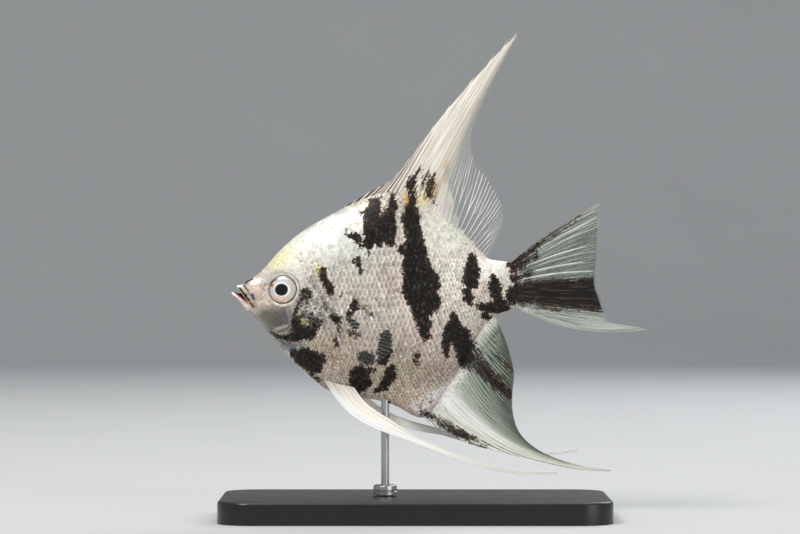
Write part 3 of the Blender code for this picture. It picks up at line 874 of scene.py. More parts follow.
SOFT = {"interpolation_type": "SMOOTHSTEP"}
MIXED = {"data_type": "RGBA"}
TIMES = {"data_type": "RGBA", "blend_type": "MULTIPLY"}


def ink_over(
    tree: NodeTree, place: NodeSocket, pale: Node,
    streak: Node | None = None, fleck_hex: str = "4b3f33",
) -> tuple[Node, Node]:
    """Lays the black patches over a pale colour: grainy at the edge, brown just inside it.

    Args:
        tree: the material's node tree.
        place: the object's own coordinates.
        pale: the colour outside the patches.
        streak: a number about 0.5 that shifts the edge, more where it is lower.
        fleck_hex: colour of the small flecks in the black.

    Returns:
        The node of the marked colour and the node that says how black a place is.
    """
    grain = add(tree, "TexNoise", (place, per_mm(0.6), 4.0, 0.65))
    ragged = add(tree, "Math", (grain, 3.4, -1.7), operation="MULTIPLY_ADD")
    depth = add(tree, "Attribute", attribute_name="black").outputs["Fac"]
    inside = add(tree, "Math", (depth, ragged), operation="ADD")
    if streak is not None:
        drawn = add(tree, "Math", (streak, 7.0, -3.5), operation="MULTIPLY_ADD")
        inside = add(tree, "Math", (inside, drawn), operation="ADD")
    mask = add(tree, "MapRange", (inside, -0.1, 0.12), **SOFT)
    clouds = add(tree, "TexNoise", (place, per_mm(1.0), 4.0, 0.6))
    patchy = add(tree, "Math", (clouds, 2.4, -1.2), operation="MULTIPLY_ADD")
    brown = add(tree, "Math", (inside, patchy), operation="ADD")
    ink = add(
        tree, "Mix", (add(tree, "MapRange", (brown, 0.0, 1.0), **SOFT), srgb("3a2c22"), srgb("100e0c")),
        **MIXED,
    )
    dots = add(tree, "TexNoise", (place, per_mm(0.7), 4.0, 0.62)) if streak is None else streak
    fleck = add(tree, "MapRange", (dots, 0.5, 0.68, 0.0, 0.66), **SOFT)
    ink = add(tree, "Mix", (fleck, ink, srgb(fleck_hex)), **MIXED)
    return add(tree, "Mix", (mask, pale, ink), **MIXED), mask


def wrinkled(
    tree: NodeTree, place: NodeSocket, under: Node,
    mask: Node, size_mm: float, shown: float, width: float = 0.045,
) -> Node:
    """Lays bright wrinkles over a colour where the surface is crinkled, weaker over black.

    Args:
        tree: the material's node tree.
        place: the object's own coordinates.
        under: the colour between the wrinkles.
        mask: how black a place is.
        size_mm: the wrinkles' spacing.
        shown: how strongly they show where the surface isn't black.
        width: how wide they are, as a share of the noise they come from.

    Returns:
        The node of the wrinkled colour.
    """
    area = add(tree, "Attribute", attribute_name="crinkled").outputs["Fac"]
    noise = add(tree, "TexNoise", (place, per_mm(size_mm), 2.0, 0.6))
    gap = add(tree, "Math", (noise, 0.5), operation="SUBTRACT")
    gap = add(tree, "Math", (gap,), operation="ABSOLUTE")
    line = add(tree, "MapRange", (gap, width, 0.0), **SOFT)
    line = add(tree, "Math", (line, area), operation="MULTIPLY")
    strength = add(tree, "MapRange", (mask, 0.0, 1.0, shown, 0.3))
    line = add(tree, "Math", (line, strength), operation="MULTIPLY")
    return add(tree, "Mix", (line, under, srgb("fbfaf7")), **MIXED)


@dataclass(frozen=True)
class Finish:
    """The settings of a material. Each kind of finish works out its own shader's inputs."""

    name: str

    def inputs(self, tree: NodeTree, place: NodeSocket) -> Inputs:
        """The shader's inputs, from the empty node tree and the object's own coordinates.

        Args:
            tree: the material's node tree.
            place: the object's own coordinates.

        Returns:
            Values, nodes or sockets by input name.
        """
        raise NotImplementedError

    def make(self) -> Material:
        """Builds the material.

        Returns:
            The node material.
        """
        made = bpy.data.materials.new(self.name)
        made.use_nodes = True
        tree = made.node_tree
        tree.nodes.clear()
        place = add(tree, "TexCoord").outputs["Object"]
        shader = add(tree, "BsdfPrincipled", self.inputs(tree, place))
        add(tree, "OutputMaterial", {"Surface": shader})
        return made


@dataclass(frozen=True)
class LivingSkin(Finish):
    """Fish skin: thin wet mucus over silvery guanine, so it shines softly and unevenly."""

    name: str = "skin_wet_guanine"
    roughness: float = 0.44
    silver: float = 0.16
    pore_mm: float = 0.24
    fold_mm: float = 1.1
    wrinkle_mm: float = 1.5  # spacing of the bright wrinkles where the skin is crinkled

    def inputs(self, tree: NodeTree, place: NodeSocket) -> Inputs:
        """The shader's inputs.

        Args:
            tree: the material's node tree.
            place: the object's own coordinates.

        Returns:
            Values, nodes or sockets by input name.
        """
        tint = add(tree, "Attribute", attribute_name="tint").outputs["Color"]
        clouds = add(tree, "TexNoise", (place, per_mm(0.7), 6.0, 0.75))
        flecks = add(tree, "MapRange", (clouds, 0.36, 0.64, 0.74, 1.14), **SOFT)
        pale = add(tree, "Mix", (1.0, tint, flecks), **TIMES)
        marked, mask = ink_over(tree, place, pale)
        marked = wrinkled(tree, place, marked, mask, self.wrinkle_mm, 0.78)
        gloss = add(tree, "TexNoise", (place, per_mm(0.9), 3.0))
        low, high = self.roughness - 0.06, self.roughness + 0.14
        pores = add(tree, "TexNoise", (place, per_mm(self.pore_mm), 3.0, 0.6))
        folds = add(tree, "TexNoise", (place, per_mm(self.fold_mm), 3.0, 0.55))
        fine = add(tree, "Bump", {"Height": pores, "Distance": 0.035 * MM, "Strength": 1.0})
        return {
            "Base Color": marked,
            "Metallic": add(tree, "MapRange", (mask, 0.0, 1.0, self.silver, 0.0)),
            "Roughness": add(tree, "MapRange", (gloss, 0.3, 0.7, low, high)),
            "Normal": add(
                tree, "Bump",
                {"Height": folds, "Distance": 0.07 * MM, "Strength": 1.0, "Normal": fine},
            ),
            "Specular IOR Level": 0.2,
            "Coat Weight": 0.05,
            "Coat Roughness": 0.2,
        }


@dataclass(frozen=True)
class SilveryScales(Finish):
    """Bony scales: clear plates over guanine, dusky in the middle and bright at the edge."""

    name: str = "scales_guanine"
    roughness: float = 0.34
    silver: float = 0.3
    middle_hex: str = "aaa6a3"
    edge_hex: str = "fffdf6"
    rings: float = 40.0  # growth rings, drawn about three times as coarse as real ones
    wrinkle_mm: float = 1.3

    def inputs(self, tree: NodeTree, place: NodeSocket) -> Inputs:
        """The shader's inputs.

        Args:
            tree: the material's node tree.
            place: the object's own coordinates.

        Returns:
            Values, nodes or sockets by input name.
        """
        tint = add(tree, "Attribute", attribute_name="tint").outputs["Color"]
        rim, shade, lace, glint = (
            add(tree, "Attribute", attribute_name=name).outputs["Fac"]
            for name in ("rim", "shade", "lace", "glint")
        )
        grain = add(tree, "TexNoise", (place, per_mm(0.5), 4.0, 0.68))
        shifted = add(tree, "Math", (grain, 1.3, rim), operation="MULTIPLY_ADD")
        band = add(tree, "MapRange", (shifted, 0.85, 1.5), **SOFT)
        plate = add(tree, "Mix", (band, srgb(self.middle_hex), srgb(self.edge_hex)), **MIXED)
        plate = add(tree, "Mix", (lace, srgb("f6f5f2"), plate), **MIXED)
        pale = add(tree, "Mix", (1.0, tint, plate), **TIMES)
        flecks = add(tree, "MapRange", (grain, 0.3, 0.7, -0.26, 0.26))
        light = add(tree, "MapRange", (shade, 0.0, 1.0, 0.83, 1.28))
        light = add(tree, "Math", (light, flecks), operation="ADD")
        pale = add(tree, "Mix", (1.0, pale, light), **TIMES)
        # painted highlight: the glint spot turns the scale white, standing partly for its bright guanine
        # crystals
        pale = add(tree, "Mix", (glint, pale, srgb("ffffff")), **MIXED)
        marked, mask = ink_over(tree, place, pale)
        # painted glints over the black as well, as faint blue-grey specks
        shine = add(tree, "Math", (glint, 0.12), operation="MULTIPLY")
        marked = add(tree, "Mix", (shine, marked, srgb("c3c8cc")), **MIXED)
        marked = wrinkled(tree, place, marked, mask, self.wrinkle_mm, 1.0, 0.07)
        growth = add(tree, "Math", (rim, self.rings), operation="MULTIPLY")
        rings = add(tree, "Math", (growth,), operation="SINE")
        return {
            "Base Color": marked,
            "Metallic": add(tree, "MapRange", (mask, 0.0, 1.0, self.silver, 0.0)),
            "Roughness": add(
                tree, "MapRange", (shade, 0.0, 1.0, self.roughness + 0.1, self.roughness)
            ),
            "Normal": add(tree, "Bump", {"Height": rings, "Distance": 0.005 * MM, "Strength": 1.0}),
            "Specular IOR Level": 0.16,
            "Coat Weight": 0.05,
            "Coat Roughness": 0.2,
        }


@dataclass(frozen=True)
class FinWeb(Finish):
    """Fin tissue: clear skin stretched between opaque, finely jointed bony rays."""

    web_hex: str
    web_alpha: float
    ray_hex: str
    ray_alpha: float = 1.0
    specks: float = 0.0  # how strongly fine dark pigment shows in the web
    streaks: float = 60.0  # fine streaks across the whole fin
    streak_dark: float = 0.7  # brightness of the darkest streaks
    ray_shown: float = 0.35  # how much rays show where the web is opaque
    roughness: float = 0.45
    wrinkle_mm: float = 1.0

    def inputs(self, tree: NodeTree, place: NodeSocket) -> Inputs:
        """The shader's inputs.

        Args:
            tree: the material's node tree.
            place: the object's own coordinates.

        Returns:
            Values, nodes or sockets by input name.
        """
        ray, flesh = (
            add(tree, "Attribute", attribute_name=name).outputs["Fac"] for name in ("ray", "flesh")
        )
        tint = add(tree, "Attribute", attribute_name="tint").outputs["Color"]
        spread = add(tree, "UVMap", uv_map="OFBake").outputs["UV"]
        drawn = add(tree, "Mapping", {"Vector": spread, "Scale": (self.streaks, 3.0, 1.0)})
        streak = add(tree, "TexNoise", (drawn, 1.0, 3.0, 0.6))
        dashes = add(tree, "Mapping", {"Vector": spread, "Scale": (1.5 * self.streaks, 26.0, 1.0)})
        dots = add(tree, "TexNoise", (dashes, 1.0, 3.0, 0.6))
        speck = add(tree, "MapRange", (dots, 0.5, 0.66, 0.0, self.specks), **SOFT)
        web = add(tree, "Mix", (speck, srgb(self.web_hex), srgb("35322e")), **MIXED)
        pale = add(tree, "Mix", (flesh, web, tint), **MIXED)
        bony = add(tree, "MapRange", (ray, 0.2, 0.75), **SOFT)
        shown = add(tree, "MapRange", (flesh, 0.0, 1.0, 1.0, self.ray_shown))
        lit = add(tree, "Math", (bony, shown), operation="MULTIPLY")
        pale = add(tree, "Mix", (lit, pale, srgb(self.ray_hex)), **MIXED)
        lines = add(tree, "MapRange", (streak, 0.32, 0.62, self.streak_dark, 1.03), **SOFT)
        pale = add(tree, "Mix", (1.0, pale, lines), **TIMES)
        marked, mask = ink_over(tree, place, pale, streak, "5f5142")
        marked = wrinkled(tree, place, marked, mask, self.wrinkle_mm, 0.9, 0.08)
        bone = add(tree, "Math", (bony, self.ray_alpha), operation="MULTIPLY")
        solid = add(tree, "Math", (bone, flesh), operation="MAXIMUM")
        alpha = add(tree, "MapRange", (solid, 0.0, 1.0, self.web_alpha, 1.0))
        dark = add(tree, "Math", (mask, 0.95), operation="MULTIPLY")
        relief = add(tree, "Math", (streak, dots), operation="ADD")
        return {
            "Base Color": marked,
            "Alpha": add(tree, "Math", (alpha, dark), operation="MAXIMUM"),
            "Roughness": self.roughness,
            "Specular IOR Level": 0.25,
            "Normal": add(tree, "Bump", {"Height": relief, "Distance": 0.08 * MM, "Strength": 1.0}),
        }


@dataclass(frozen=True)
class Iris(Finish):
    """An eye: a black pupil in a silvery iris of guanine, under clear wet cornea."""

    name: str = "eye_iris_cornea"
    fibre_mm: float = 0.3

    def inputs(self, tree: NodeTree, place: NodeSocket) -> Inputs:
        """The shader's inputs.

        Args:
            tree: the material's node tree.
            place: the object's own coordinates.

        Returns:
            Values, nodes or sockets by input name.
        """
        tint = add(tree, "Attribute", attribute_name="tint").outputs["Color"]
        silver = add(tree, "Attribute", attribute_name="silver").outputs["Fac"]
        grain = add(tree, "TexNoise", (place, per_mm(self.fibre_mm), 4.0, 0.6))
        fibres = add(tree, "MapRange", (grain, 0.3, 0.7, 0.84, 1.2), **SOFT)
        return {
            "Base Color": add(tree, "Mix", (1.0, tint, fibres), **TIMES),
            "Metallic": add(tree, "MapRange", (silver, 0.0, 1.0, 0.0, 0.3)),
            "Roughness": 0.3,
            "Specular IOR Level": 0.3,
            "Coat Weight": 0.45,
            "Coat Roughness": 0.07,
        }


@dataclass(frozen=True)
class SatinAcrylic(Finish):
    """Black acrylic sheet, sawn and satin polished: soft reflections with faint fine streaks."""

    name: str = "acrylic_satin_black"
    scuff_mm: float = 0.4

    def inputs(self, tree: NodeTree, place: NodeSocket) -> Inputs:
        """The shader's inputs.

        Args:
            tree: the material's node tree.
            place: the object's own coordinates.

        Returns:
            Values, nodes or sockets by input name.
        """
        clouds = add(tree, "TexNoise", (place, per_mm(6.0), 4.0))
        tone = add(tree, "TexNoise", (place, per_mm(3.0), 3.0))
        drawn = add(tree, "Mapping", {"Vector": place, "Scale": (0.08, 1.0, 1.0)})
        scuffs = add(tree, "TexNoise", (drawn, per_mm(self.scuff_mm), 2.0))
        return {
            "Base Color": add(tree, "Mix", (tone, srgb("121315"), srgb("1b1c1f")), **MIXED),
            "Roughness": add(tree, "MapRange", (clouds, 0.3, 0.7, 0.26, 0.36)),
            "Normal": add(tree, "Bump", {"Height": scuffs, "Distance": 0.004 * MM, "Strength": 1.0}),
            "IOR": 1.49,
        }


@dataclass(frozen=True)
class BrushedSteel(Finish):
    """Stainless steel rod, turned and brushed round its length: bright with fine rings."""

    name: str = "stainless_steel_brushed"
    ring_mm: float = 0.13

    def inputs(self, tree: NodeTree, place: NodeSocket) -> Inputs:
        """The shader's inputs.

        Args:
            tree: the material's node tree.
            place: the object's own coordinates.

        Returns:
            Values, nodes or sockets by input name.
        """
        drawn = add(tree, "Mapping", {"Vector": place, "Scale": (0.15, 0.15, 2.0)})
        rings = add(tree, "TexNoise", (drawn, per_mm(self.ring_mm), 2.0))
        return {
            "Base Color": add(tree, "Mix", (rings, srgb("a3a4a6"), srgb("bdbec0")), **MIXED),
            "Metallic": 1.0,
            "Roughness": add(tree, "MapRange", (rings, 0.3, 0.7, 0.2, 0.36)),
            "Normal": add(tree, "Bump", {"Height": rings, "Distance": 0.003 * MM, "Strength": 1.0}),
        }


@dataclass(frozen=True)
class PaperSweep(Finish):
    """Matt paper of a studio sweep, pale and faintly mottled."""

    name: str = "paper_matt_pale"

    def inputs(self, tree: NodeTree, place: NodeSocket) -> Inputs:
        """The shader's inputs.

        Args:
            tree: the material's node tree.
            place: the object's own coordinates.

        Returns:
            Values, nodes or sockets by input name.
        """
        tone = add(tree, "TexNoise", (place, per_mm(60.0), 3.0))
        return {
            "Base Color": add(tree, "Mix", (tone, srgb("b8babc"), srgb("bec0c2")), **MIXED),
            "Roughness": 0.9,
        }


# ---------------------------------------------------------------- skin


def up_the_map(x: Array) -> Array:
    """How far up the skin's unwrap x lies, from the snout at 0 to the tail fin's root at 1."""
    return np.clip((x + 50) / 78, 0, 1)


@dataclass
class Skin:
    """One skin over head, jaws, gill covers, trunk and tail stalk."""

    around: int = 300
    along: int = 310
    # Part of the way from the mouth's inside to the tail, and x there.
    stations: Rows = (
        (0.10, -44.5), (0.24, -38.0), (0.60, -24.0), (0.96, 26.8), (1.0, 27.9),
    )
    lip_station: float = 0.10
    snout_station: float = 0.24
    upper_lip: tuple[float, float] = (-47.7, 62.1)
    lower_lip: tuple[float, float] = (-49.1, 60.5)
    mouth_corner: Place = (-43.6, 2.0, 56.4)
    throat: Place = (-42.4, 0.0, 59.6)
    squeeze: float = 0.4  # how much closer the rings' points lie at mid height
    nodes: tuple[str, ...] = (
        "head", "upper_jaw", "lower_jaw", "gill_cover_left", "gill_cover_right", "trunk",
        "tail_stalk",
    )

    def lips(self, around: Array) -> Array:
        """Points of the lips' edge: around is a quarter turn at the upper tip.

        Args:
            around: angles in radians.

        Returns:
            x, y, z rows in millimetres.
        """
        up, out = np.sin(around), np.cos(around)
        corner_x, corner_y, corner_z = self.mouth_corner
        reach = np.abs(up) ** 1.15
        tip_x = np.where(up > 0, self.upper_lip[0], self.lower_lip[0])
        tip_z = np.where(up > 0, self.upper_lip[1], self.lower_lip[1])
        width = corner_y * np.sign(out) * np.abs(out) ** 0.8
        x = corner_x + (tip_x - corner_x) * reach
        z = corner_z + (tip_z - corner_z) * reach
        return np.stack([x, width, z], axis=-1)

    def shape(self, station: Array, around: Array) -> Array:
        """Points of the bare skin before its relief.

        Args:
            station: from 0 inside the mouth to 1 at the tail fin's root.
            around: 0 on the right, a quarter turn on the back.

        Returns:
            Points in millimetres.
        """
        around = around - self.squeeze / 2 * np.sin(2 * around)
        table = np.asarray(self.stations)
        x = np.interp(station, table[:, 0], table[:, 1])
        body = FORM.ring(x, around)
        lips = self.lips(around)
        blend = (station - self.lip_station) / (self.snout_station - self.lip_station)
        outside = lips + (body - lips) * smooth(blend * 0.5 + 0.5 * smooth(blend))[:, None]
        depth = np.clip(1 - station / self.lip_station, 0, 1)
        inward = np.asarray(self.throat) - lips
        inside = lips + inward * np.clip(depth, 0, 1)[:, None] ** 1.2
        return np.where(station[:, None] < self.lip_station, inside, outside)

    def relief(self, points: Array, station: Array, around: Array) -> Array:
        """How far the skin stands out, in millimetres, for each point.

        Args:
            points: x, y, z rows in millimetres.
            station: from 0 inside the mouth to 1 at the tail fin's root.
            around: angles in radians; not used.

        Returns:
            One number per point.
        """
        x, z = points[:, 0], points[:, 2]
        # the eye's socket, open at the front, and the folds round it
        eye = np.hypot(x - EYE_PLACE[0], z - EYE_PLACE[1])
        out = -3.0 * (1 - smooth((eye - EYE_RADIUS + 0.3) / 0.45))
        front = smooth((EYE_PLACE[0] - x) / 3.0)
        out -= (0.15 + 0.3 * front) * (1 - smooth((eye - EYE_RADIUS) / 1.1))
        out += 0.12 * hill((eye - EYE_RADIUS - 1.0) / 0.3)
        out -= 0.1 * hill((eye - EYE_RADIUS - 1.45) / 0.25)
        # the nostril and its rim
        nostril = np.hypot(x - NOSTRIL[0], z - NOSTRIL[1])
        out += 0.12 * hill((nostril - 0.75) / 0.25) - 0.5 * hill(nostril / 0.4)
        # the gill cover and the cheek plate stand out along their edges
        gill = edge_distance(x, z, GILL_EDGE)
        near_gill = smooth((x + 41.0) / 2.0)
        out += 0.3 * smooth((0.35 - gill) / 0.7) * hill(np.minimum(gill, 0) / 4.0) * near_gill
        cheek = edge_distance(x, z, CHEEK_EDGE)
        fade = smooth((x + 40.5) / 2.0)
        out += 0.14 * smooth(0.5 - cheek / 0.5) * hill(np.minimum(cheek, 0) / 2.6) * fade
        out -= 0.14 * hill((cheek - 0.25) / 0.25) * fade
        # the lips and the fold behind them
        lip = (station - self.lip_station) / (self.snout_station - self.lip_station)
        out += 0.2 * hill((lip - 0.12) / 0.12) - 0.2 * hill((lip - 0.34) / 0.08)
        out += 0.1 * hill((lip - 0.5) / 0.1) - 0.1 * hill((lip - 0.66) / 0.06)
        # uneven flesh over the head's bones
        head = smooth((-24.0 - x) / 3.0)
        seen = np.stack([x, z, points[:, 1]], axis=1)
        out += head * (0.05 * rough(seen, 2.4, 11) + 0.03 * rough(seen, 1.0, 12))
        return out

    def orbit(self, points: Array, tints: Array) -> None:
        """Draws the pale lid and the faint dark ring round each eye over colours in place.

        Args:
            points: x, y, z rows in millimetres.
            tints: their linear RGBA rows.
        """
        x, z = points[:, 0] - EYE_PLACE[0], points[:, 2] - EYE_PLACE[1]
        gap = np.hypot(x, z)
        blend(tints, "e6dfd6", 0.7 * hill((gap - 4.05) / 0.3))
        facing = smooth(0.55 + (0.75 * x + 0.6 * z) / (gap + 0.01) * 0.6)
        ring = hill((np.hypot(x + 0.15, z - 0.15) - 4.75) / 0.26)
        blend(tints, "57504a", 0.62 * ring * facing)

    def make(self, finish: Material) -> None:
        """Builds the skin.

        Args:
            finish: the skin's material.
        """
        bm = bmesh.new()
        bm.loops.layers.uv.new("OFBake")
        bmesh.ops.create_uvsphere(
            bm, u_segments=self.around, v_segments=self.along, radius=1, calc_uvs=True
        )
        mesh = mesh_from(bm, "skin", 1.0)
        ball = coordinates(mesh)
        station = np.arccos(np.clip(ball[:, 2], -1, 1)) / math.pi
        around = np.arctan2(ball[:, 0], ball[:, 1])
        points = self.shape(station, around)
        move_to(mesh, points)
        outward = np.empty(len(points) * 3, np.float32)
        mesh.vertices.foreach_get("normal", outward)
        out = self.relief(points, station, around)
        covered = smooth((points[:, 0] + 34.0) / 6.0)
        out -= COAT_DEPTH * covered
        points = points + outward.reshape(-1, 3) * out[:, None]
        move_to(mesh, points)
        store(mesh, black=MARKINGS.black(points), crinkled=MARKINGS.crinkled(points))
        tints = MARKINGS.tint(points)
        ridge = MARKINGS.crinkle(points, tints)
        MARKINGS.paint(points, tints, FACE_STROKES)
        self.orbit(points, tints)
        # Painted shade: deep inside the mouth the skin turns near black.
        dark = 1 - smooth((station - self.lip_station * 0.74) / (self.lip_station * 0.2))
        blend(tints, "1d0f0d", dark)
        points = points + outward.reshape(-1, 3) * (0.1 * ridge)[:, None]
        move_to(mesh, points)
        store(mesh, tint=tints)
        piece("skin", mesh, finish, "skin", *self.nodes)


# ---------------------------------------------------------------- scales


@dataclass
class ScaleCoat:
    """Overlapping scales, each a thin domed plate that follows the surface it lies on."""

    name: str
    side: Side
    segments: int = 14
    inner: float = 0.66  # radius of the plate's flat top
    lift: float = 0.12  # how far the rear edge stands up, in half lengths
    thick: float = 0.09  # thickness, in half lengths
    vary: float = 0.08  # how much they differ in size
    twist: float = 0.13  # how far they are turned out of line
    stray: float = 0.07  # how far scales lie from their even places, in half lengths
    sparkle: float = 1.0  # how bright the scales' painted glints are
    netting: float = 1.0  # how much of the pattern's net of scale edges shows
    patch: float = 0.0015  # half the size of a scale's patch on the map
    # In the glittering patch: how much brighter scales are, how much red, green and blue the
    # dull ones lose, how many more painted glints there are and how much wider they are.
    glitter_shade: float = 0.45
    glitter_loss: Place = (0.4, 0.48, 0.54)
    glitter_spark: float = 1.5
    glitter_beam: float = 0.34
    beam: float = 0.26  # radius of a painted glint elsewhere, in half lengths

    def surface(self, places: Array) -> tuple[Array, Array]:
        """Points in millimetres and outward normals at places on the coat's own two axes."""
        raise NotImplementedError

    def chart(self, places: Array) -> Array:
        """Where the places lie on the unwrap of the surface under the coat."""
        raise NotImplementedError

    def fade(self, places: Array, tints: Array) -> Array:
        """Changes tints in place where the coat runs out, and says how far it has, 0 to 1."""
        return np.zeros(len(places))

    def template(self) -> tuple[Array, list[list[int]]]:
        """One scale: a low cone frustum with middle points, all within 1 of the centre.

        Returns:
            Its vertices and its faces as lists of vertex numbers.
        """
        bm = bmesh.new()
        bmesh.ops.create_cone(
            bm, cap_ends=True, segments=self.segments, radius1=1.0, radius2=self.inner, depth=1.0
        )
        bmesh.ops.poke(bm, faces=[f for f in bm.faces if abs(f.normal.z) > 0.9])
        bm.verts.index_update()
        verts = np.array([v.co[:] for v in bm.verts])
        faces = [[v.index for v in f.verts] for f in bm.faces]
        bm.free()
        return verts, faces

    def grow(
        self, finish: Material, places: Array, ahead: Array,
        aside: Array, sizes: Array, cells: Array,
    ) -> None:
        """Builds the coat as one mesh.

        Args:
            finish: the scales' material.
            places: the scales' middles on the coat's two axes.
            ahead: half a scale's length on those axes, towards its free edge.
            aside: half its width on those axes, on the left as seen from outside.
            sizes: half lengths in millimetres.
            cells: whole numbers that tell the scales apart.
        """
        random = [scatter(cells, seed) * 2 - 1 for seed in range(3, 9)]
        verts, faces = self.template()
        count, per = len(places), len(verts)
        a, b, c = verts.T
        rim = np.hypot(a, b)
        grown = (1 + self.vary * random[0])[:, None]
        forward = a[None, :] * grown + (self.stray * random[2])[:, None]
        sideways = (b[None, :] + (self.twist * random[1])[:, None] * a[None, :]) * grown
        sideways = sideways + (self.stray * random[5])[:, None]
        spots = (
            places[:, None, :]
            + ahead[:, None, :] * forward[..., None]
            + aside[:, None, :] * sideways[..., None]
        )
        points, normals = self.surface(spots.reshape(-1, 2))
        tilt = self.lift * (1 + 0.3 * random[2])[:, None] * (0.5 + 0.5 * a[None, :]) ** 1.4
        dome = (c > 0) * (1 - 0.6 * rim**2) - 0.3
        height = sizes[:, None] * (tilt + self.thick * dome[None, :]) - COAT_DEPTH
        points = points + normals * height.reshape(-1, 1)
        mesh = repeated(self.name, points.reshape(count, per, 3), faces)
        middles, _ = self.surface(places)
        tints = MARKINGS.tint(middles)
        MARKINGS.paint(middles, tints, FIN_STROKES)
        MARKINGS.crinkle(middles, tints)
        kept = 1 - self.fade(places, tints)
        glitter = MARKINGS.silver(middles)
        shade = np.clip((random[4] * kept + 1) / 2 + self.glitter_shade * glitter, 0, 1)
        dull = (glitter * (random[5] > 0.0))[:, None]
        tints[:, :3] *= 1 - dull * np.array(self.glitter_loss)
        # Painted highlights: a bright spot near the free edge of some scales, partly their bright guanine
        # crystals.
        spark = np.clip(random[3] * 1.9 - 0.4 + self.glitter_spark * glitter, 0, 1)[:, None]
        at_a, at_b = 0.45 + 0.25 * random[5][:, None], 0.5 * random[0][:, None]
        reach = (self.beam + self.glitter_beam * glitter)[:, None]
        beam = self.sparkle * hill(np.hypot(a[None, :] - at_a, b[None, :] - at_b) / reach)
        store(
            mesh, black=MARKINGS.black(points), crinkled=MARKINGS.silver(points),
            shade=np.repeat(shade, per), rim=np.tile(rim, count),
            lace=np.repeat(kept * self.netting * MARKINGS.lace(middles), per),
            glint=(kept[:, None] * spark * beam).ravel(), tint=np.repeat(tints, per, axis=0),
        )
        patches = self.chart(places)[:, None, :] + verts[None, :, :2] * self.patch
        unwrap(mesh, patches.reshape(-1, 2))
        piece(self.name, mesh, finish, "skin")


@dataclass
class FlankScales(ScaleCoat):
    """Level rows of scales over one side of the body, smaller towards its ends and ridges.

    The coat's axes are x and the length over the skin above the body's widest line.
    """

    pitch: float = 1.27  # from one scale to the next in a row, mid body
    row: float = 1.78  # from one row to the next
    overlap: tuple[float, float] = (0.92, 0.98)  # half length in pitches, half width in rows
    crowd: float = 0.09  # how much the rows close up towards the ridges
    size_along: Rows = ((-40.0, 0.5), (-32.0, 0.66), (-24.0, 0.9), (-12.0, 1.0), (-1.0, 1.0),
                        (5.0, 0.82), (12.0, 0.66), (28.0, 0.56))
    start: float = -40.0
    end: float = 27.0
    # The parts of the flank: the scales' size there, and the shares of the way from the
    # widest line up to the back (1) or down to the belly (-1) between which they lie.
    parts: Rows = ((1.0, -0.5, 1.2), (0.7, -1.05, -0.46))

    def surface(self, places: Array) -> tuple[Array, Array]:
        """Points in millimetres and outward normals at places on the flank.

        Args:
            places: rows of x and length over the skin.

        Returns:
            The points and the normals.
        """
        x, over = places.T
        turn = FORM.angle(x, over)
        turn = turn if self.side is Side.RIGHT else math.pi - turn
        step = 0.02
        rise = FORM.ring(x, turn + step) - FORM.ring(x, turn - step)
        along = FORM.ring(x + 0.25, turn) - FORM.ring(x - 0.25, turn)
        out = np.cross(rise, along)
        out /= np.linalg.norm(out, axis=1, keepdims=True) + 1e-12
        return FORM.ring(x, turn), out

    def chart(self, places: Array) -> Array:
        """Where the places lie on the unwrap of the skin.

        Args:
            places: rows of x and length over the skin.

        Returns:
            UV rows.
        """
        x, over = places.T
        turn = FORM.angle(x, over) / (2 * math.pi)
        turn = 0.25 + turn if self.side is Side.RIGHT else 0.75 - turn
        return np.stack([turn, up_the_map(x)], axis=1)

    def covers(self, x: Array, z: Array) -> Array:
        """Which places of the side view carry these scales."""
        edge = ((-38.5, 78.0), (-36.2, 71.4), (-32.6, 68.2)) + GILL_EDGE + ((-42.5, 50.2),)
        return edge_distance(x, z, edge) > 0.15

    def make(self, finish: Material) -> None:
        """Builds the coat: rows of scales, every other column half a row up.

        Args:
            finish: the scales' material.
        """
        xs, above, below, _ = FORM.girths()
        sizes = np.asarray(self.size_along)
        rows, column = [], 0
        for size, low, high in self.parts:
            x = self.start
            while x < self.end:
                factor = size * float(np.interp(x, sizes[:, 0], sizes[:, 1]))
                for way, reach in ((1, np.interp(x, xs, above)), (-1, np.interp(x, xs, below))):
                    for count in range(int(1.1 * reach / (self.row * factor)) + 1):
                        share = count * self.row * factor / reach
                        wave = 0.03 * math.sin(0.9 * x) + 0.02 * math.sin(2.3 * x)
                        if (count + column) % 2 or (way < 0 and count == 0):
                            continue
                        if not low <= way * share + wave <= high:
                            continue
                        over = way * reach * min(share - self.crowd * share**3, 0.985)
                        close = 1 - 3 * self.crowd * share**2
                        rows.append((x, over, factor, close, column, way * count))
                x += self.pitch * factor / 2
                column += 1
        table = np.array(rows)
        points, _ = self.surface(table[:, :2])
        table = table[self.covers(points[:, 0], points[:, 2])]
        factor, close = table[:, 2], table[:, 3]
        half = self.overlap[0] * self.pitch * factor
        wide = self.overlap[1] * self.row * factor * close
        zero = np.zeros(len(table))
        self.grow(
            finish, table[:, :2], np.stack([half, zero], axis=1),
            np.stack([zero, -self.side.value * wide], axis=1), half * close, table[:, 4:6],
        )


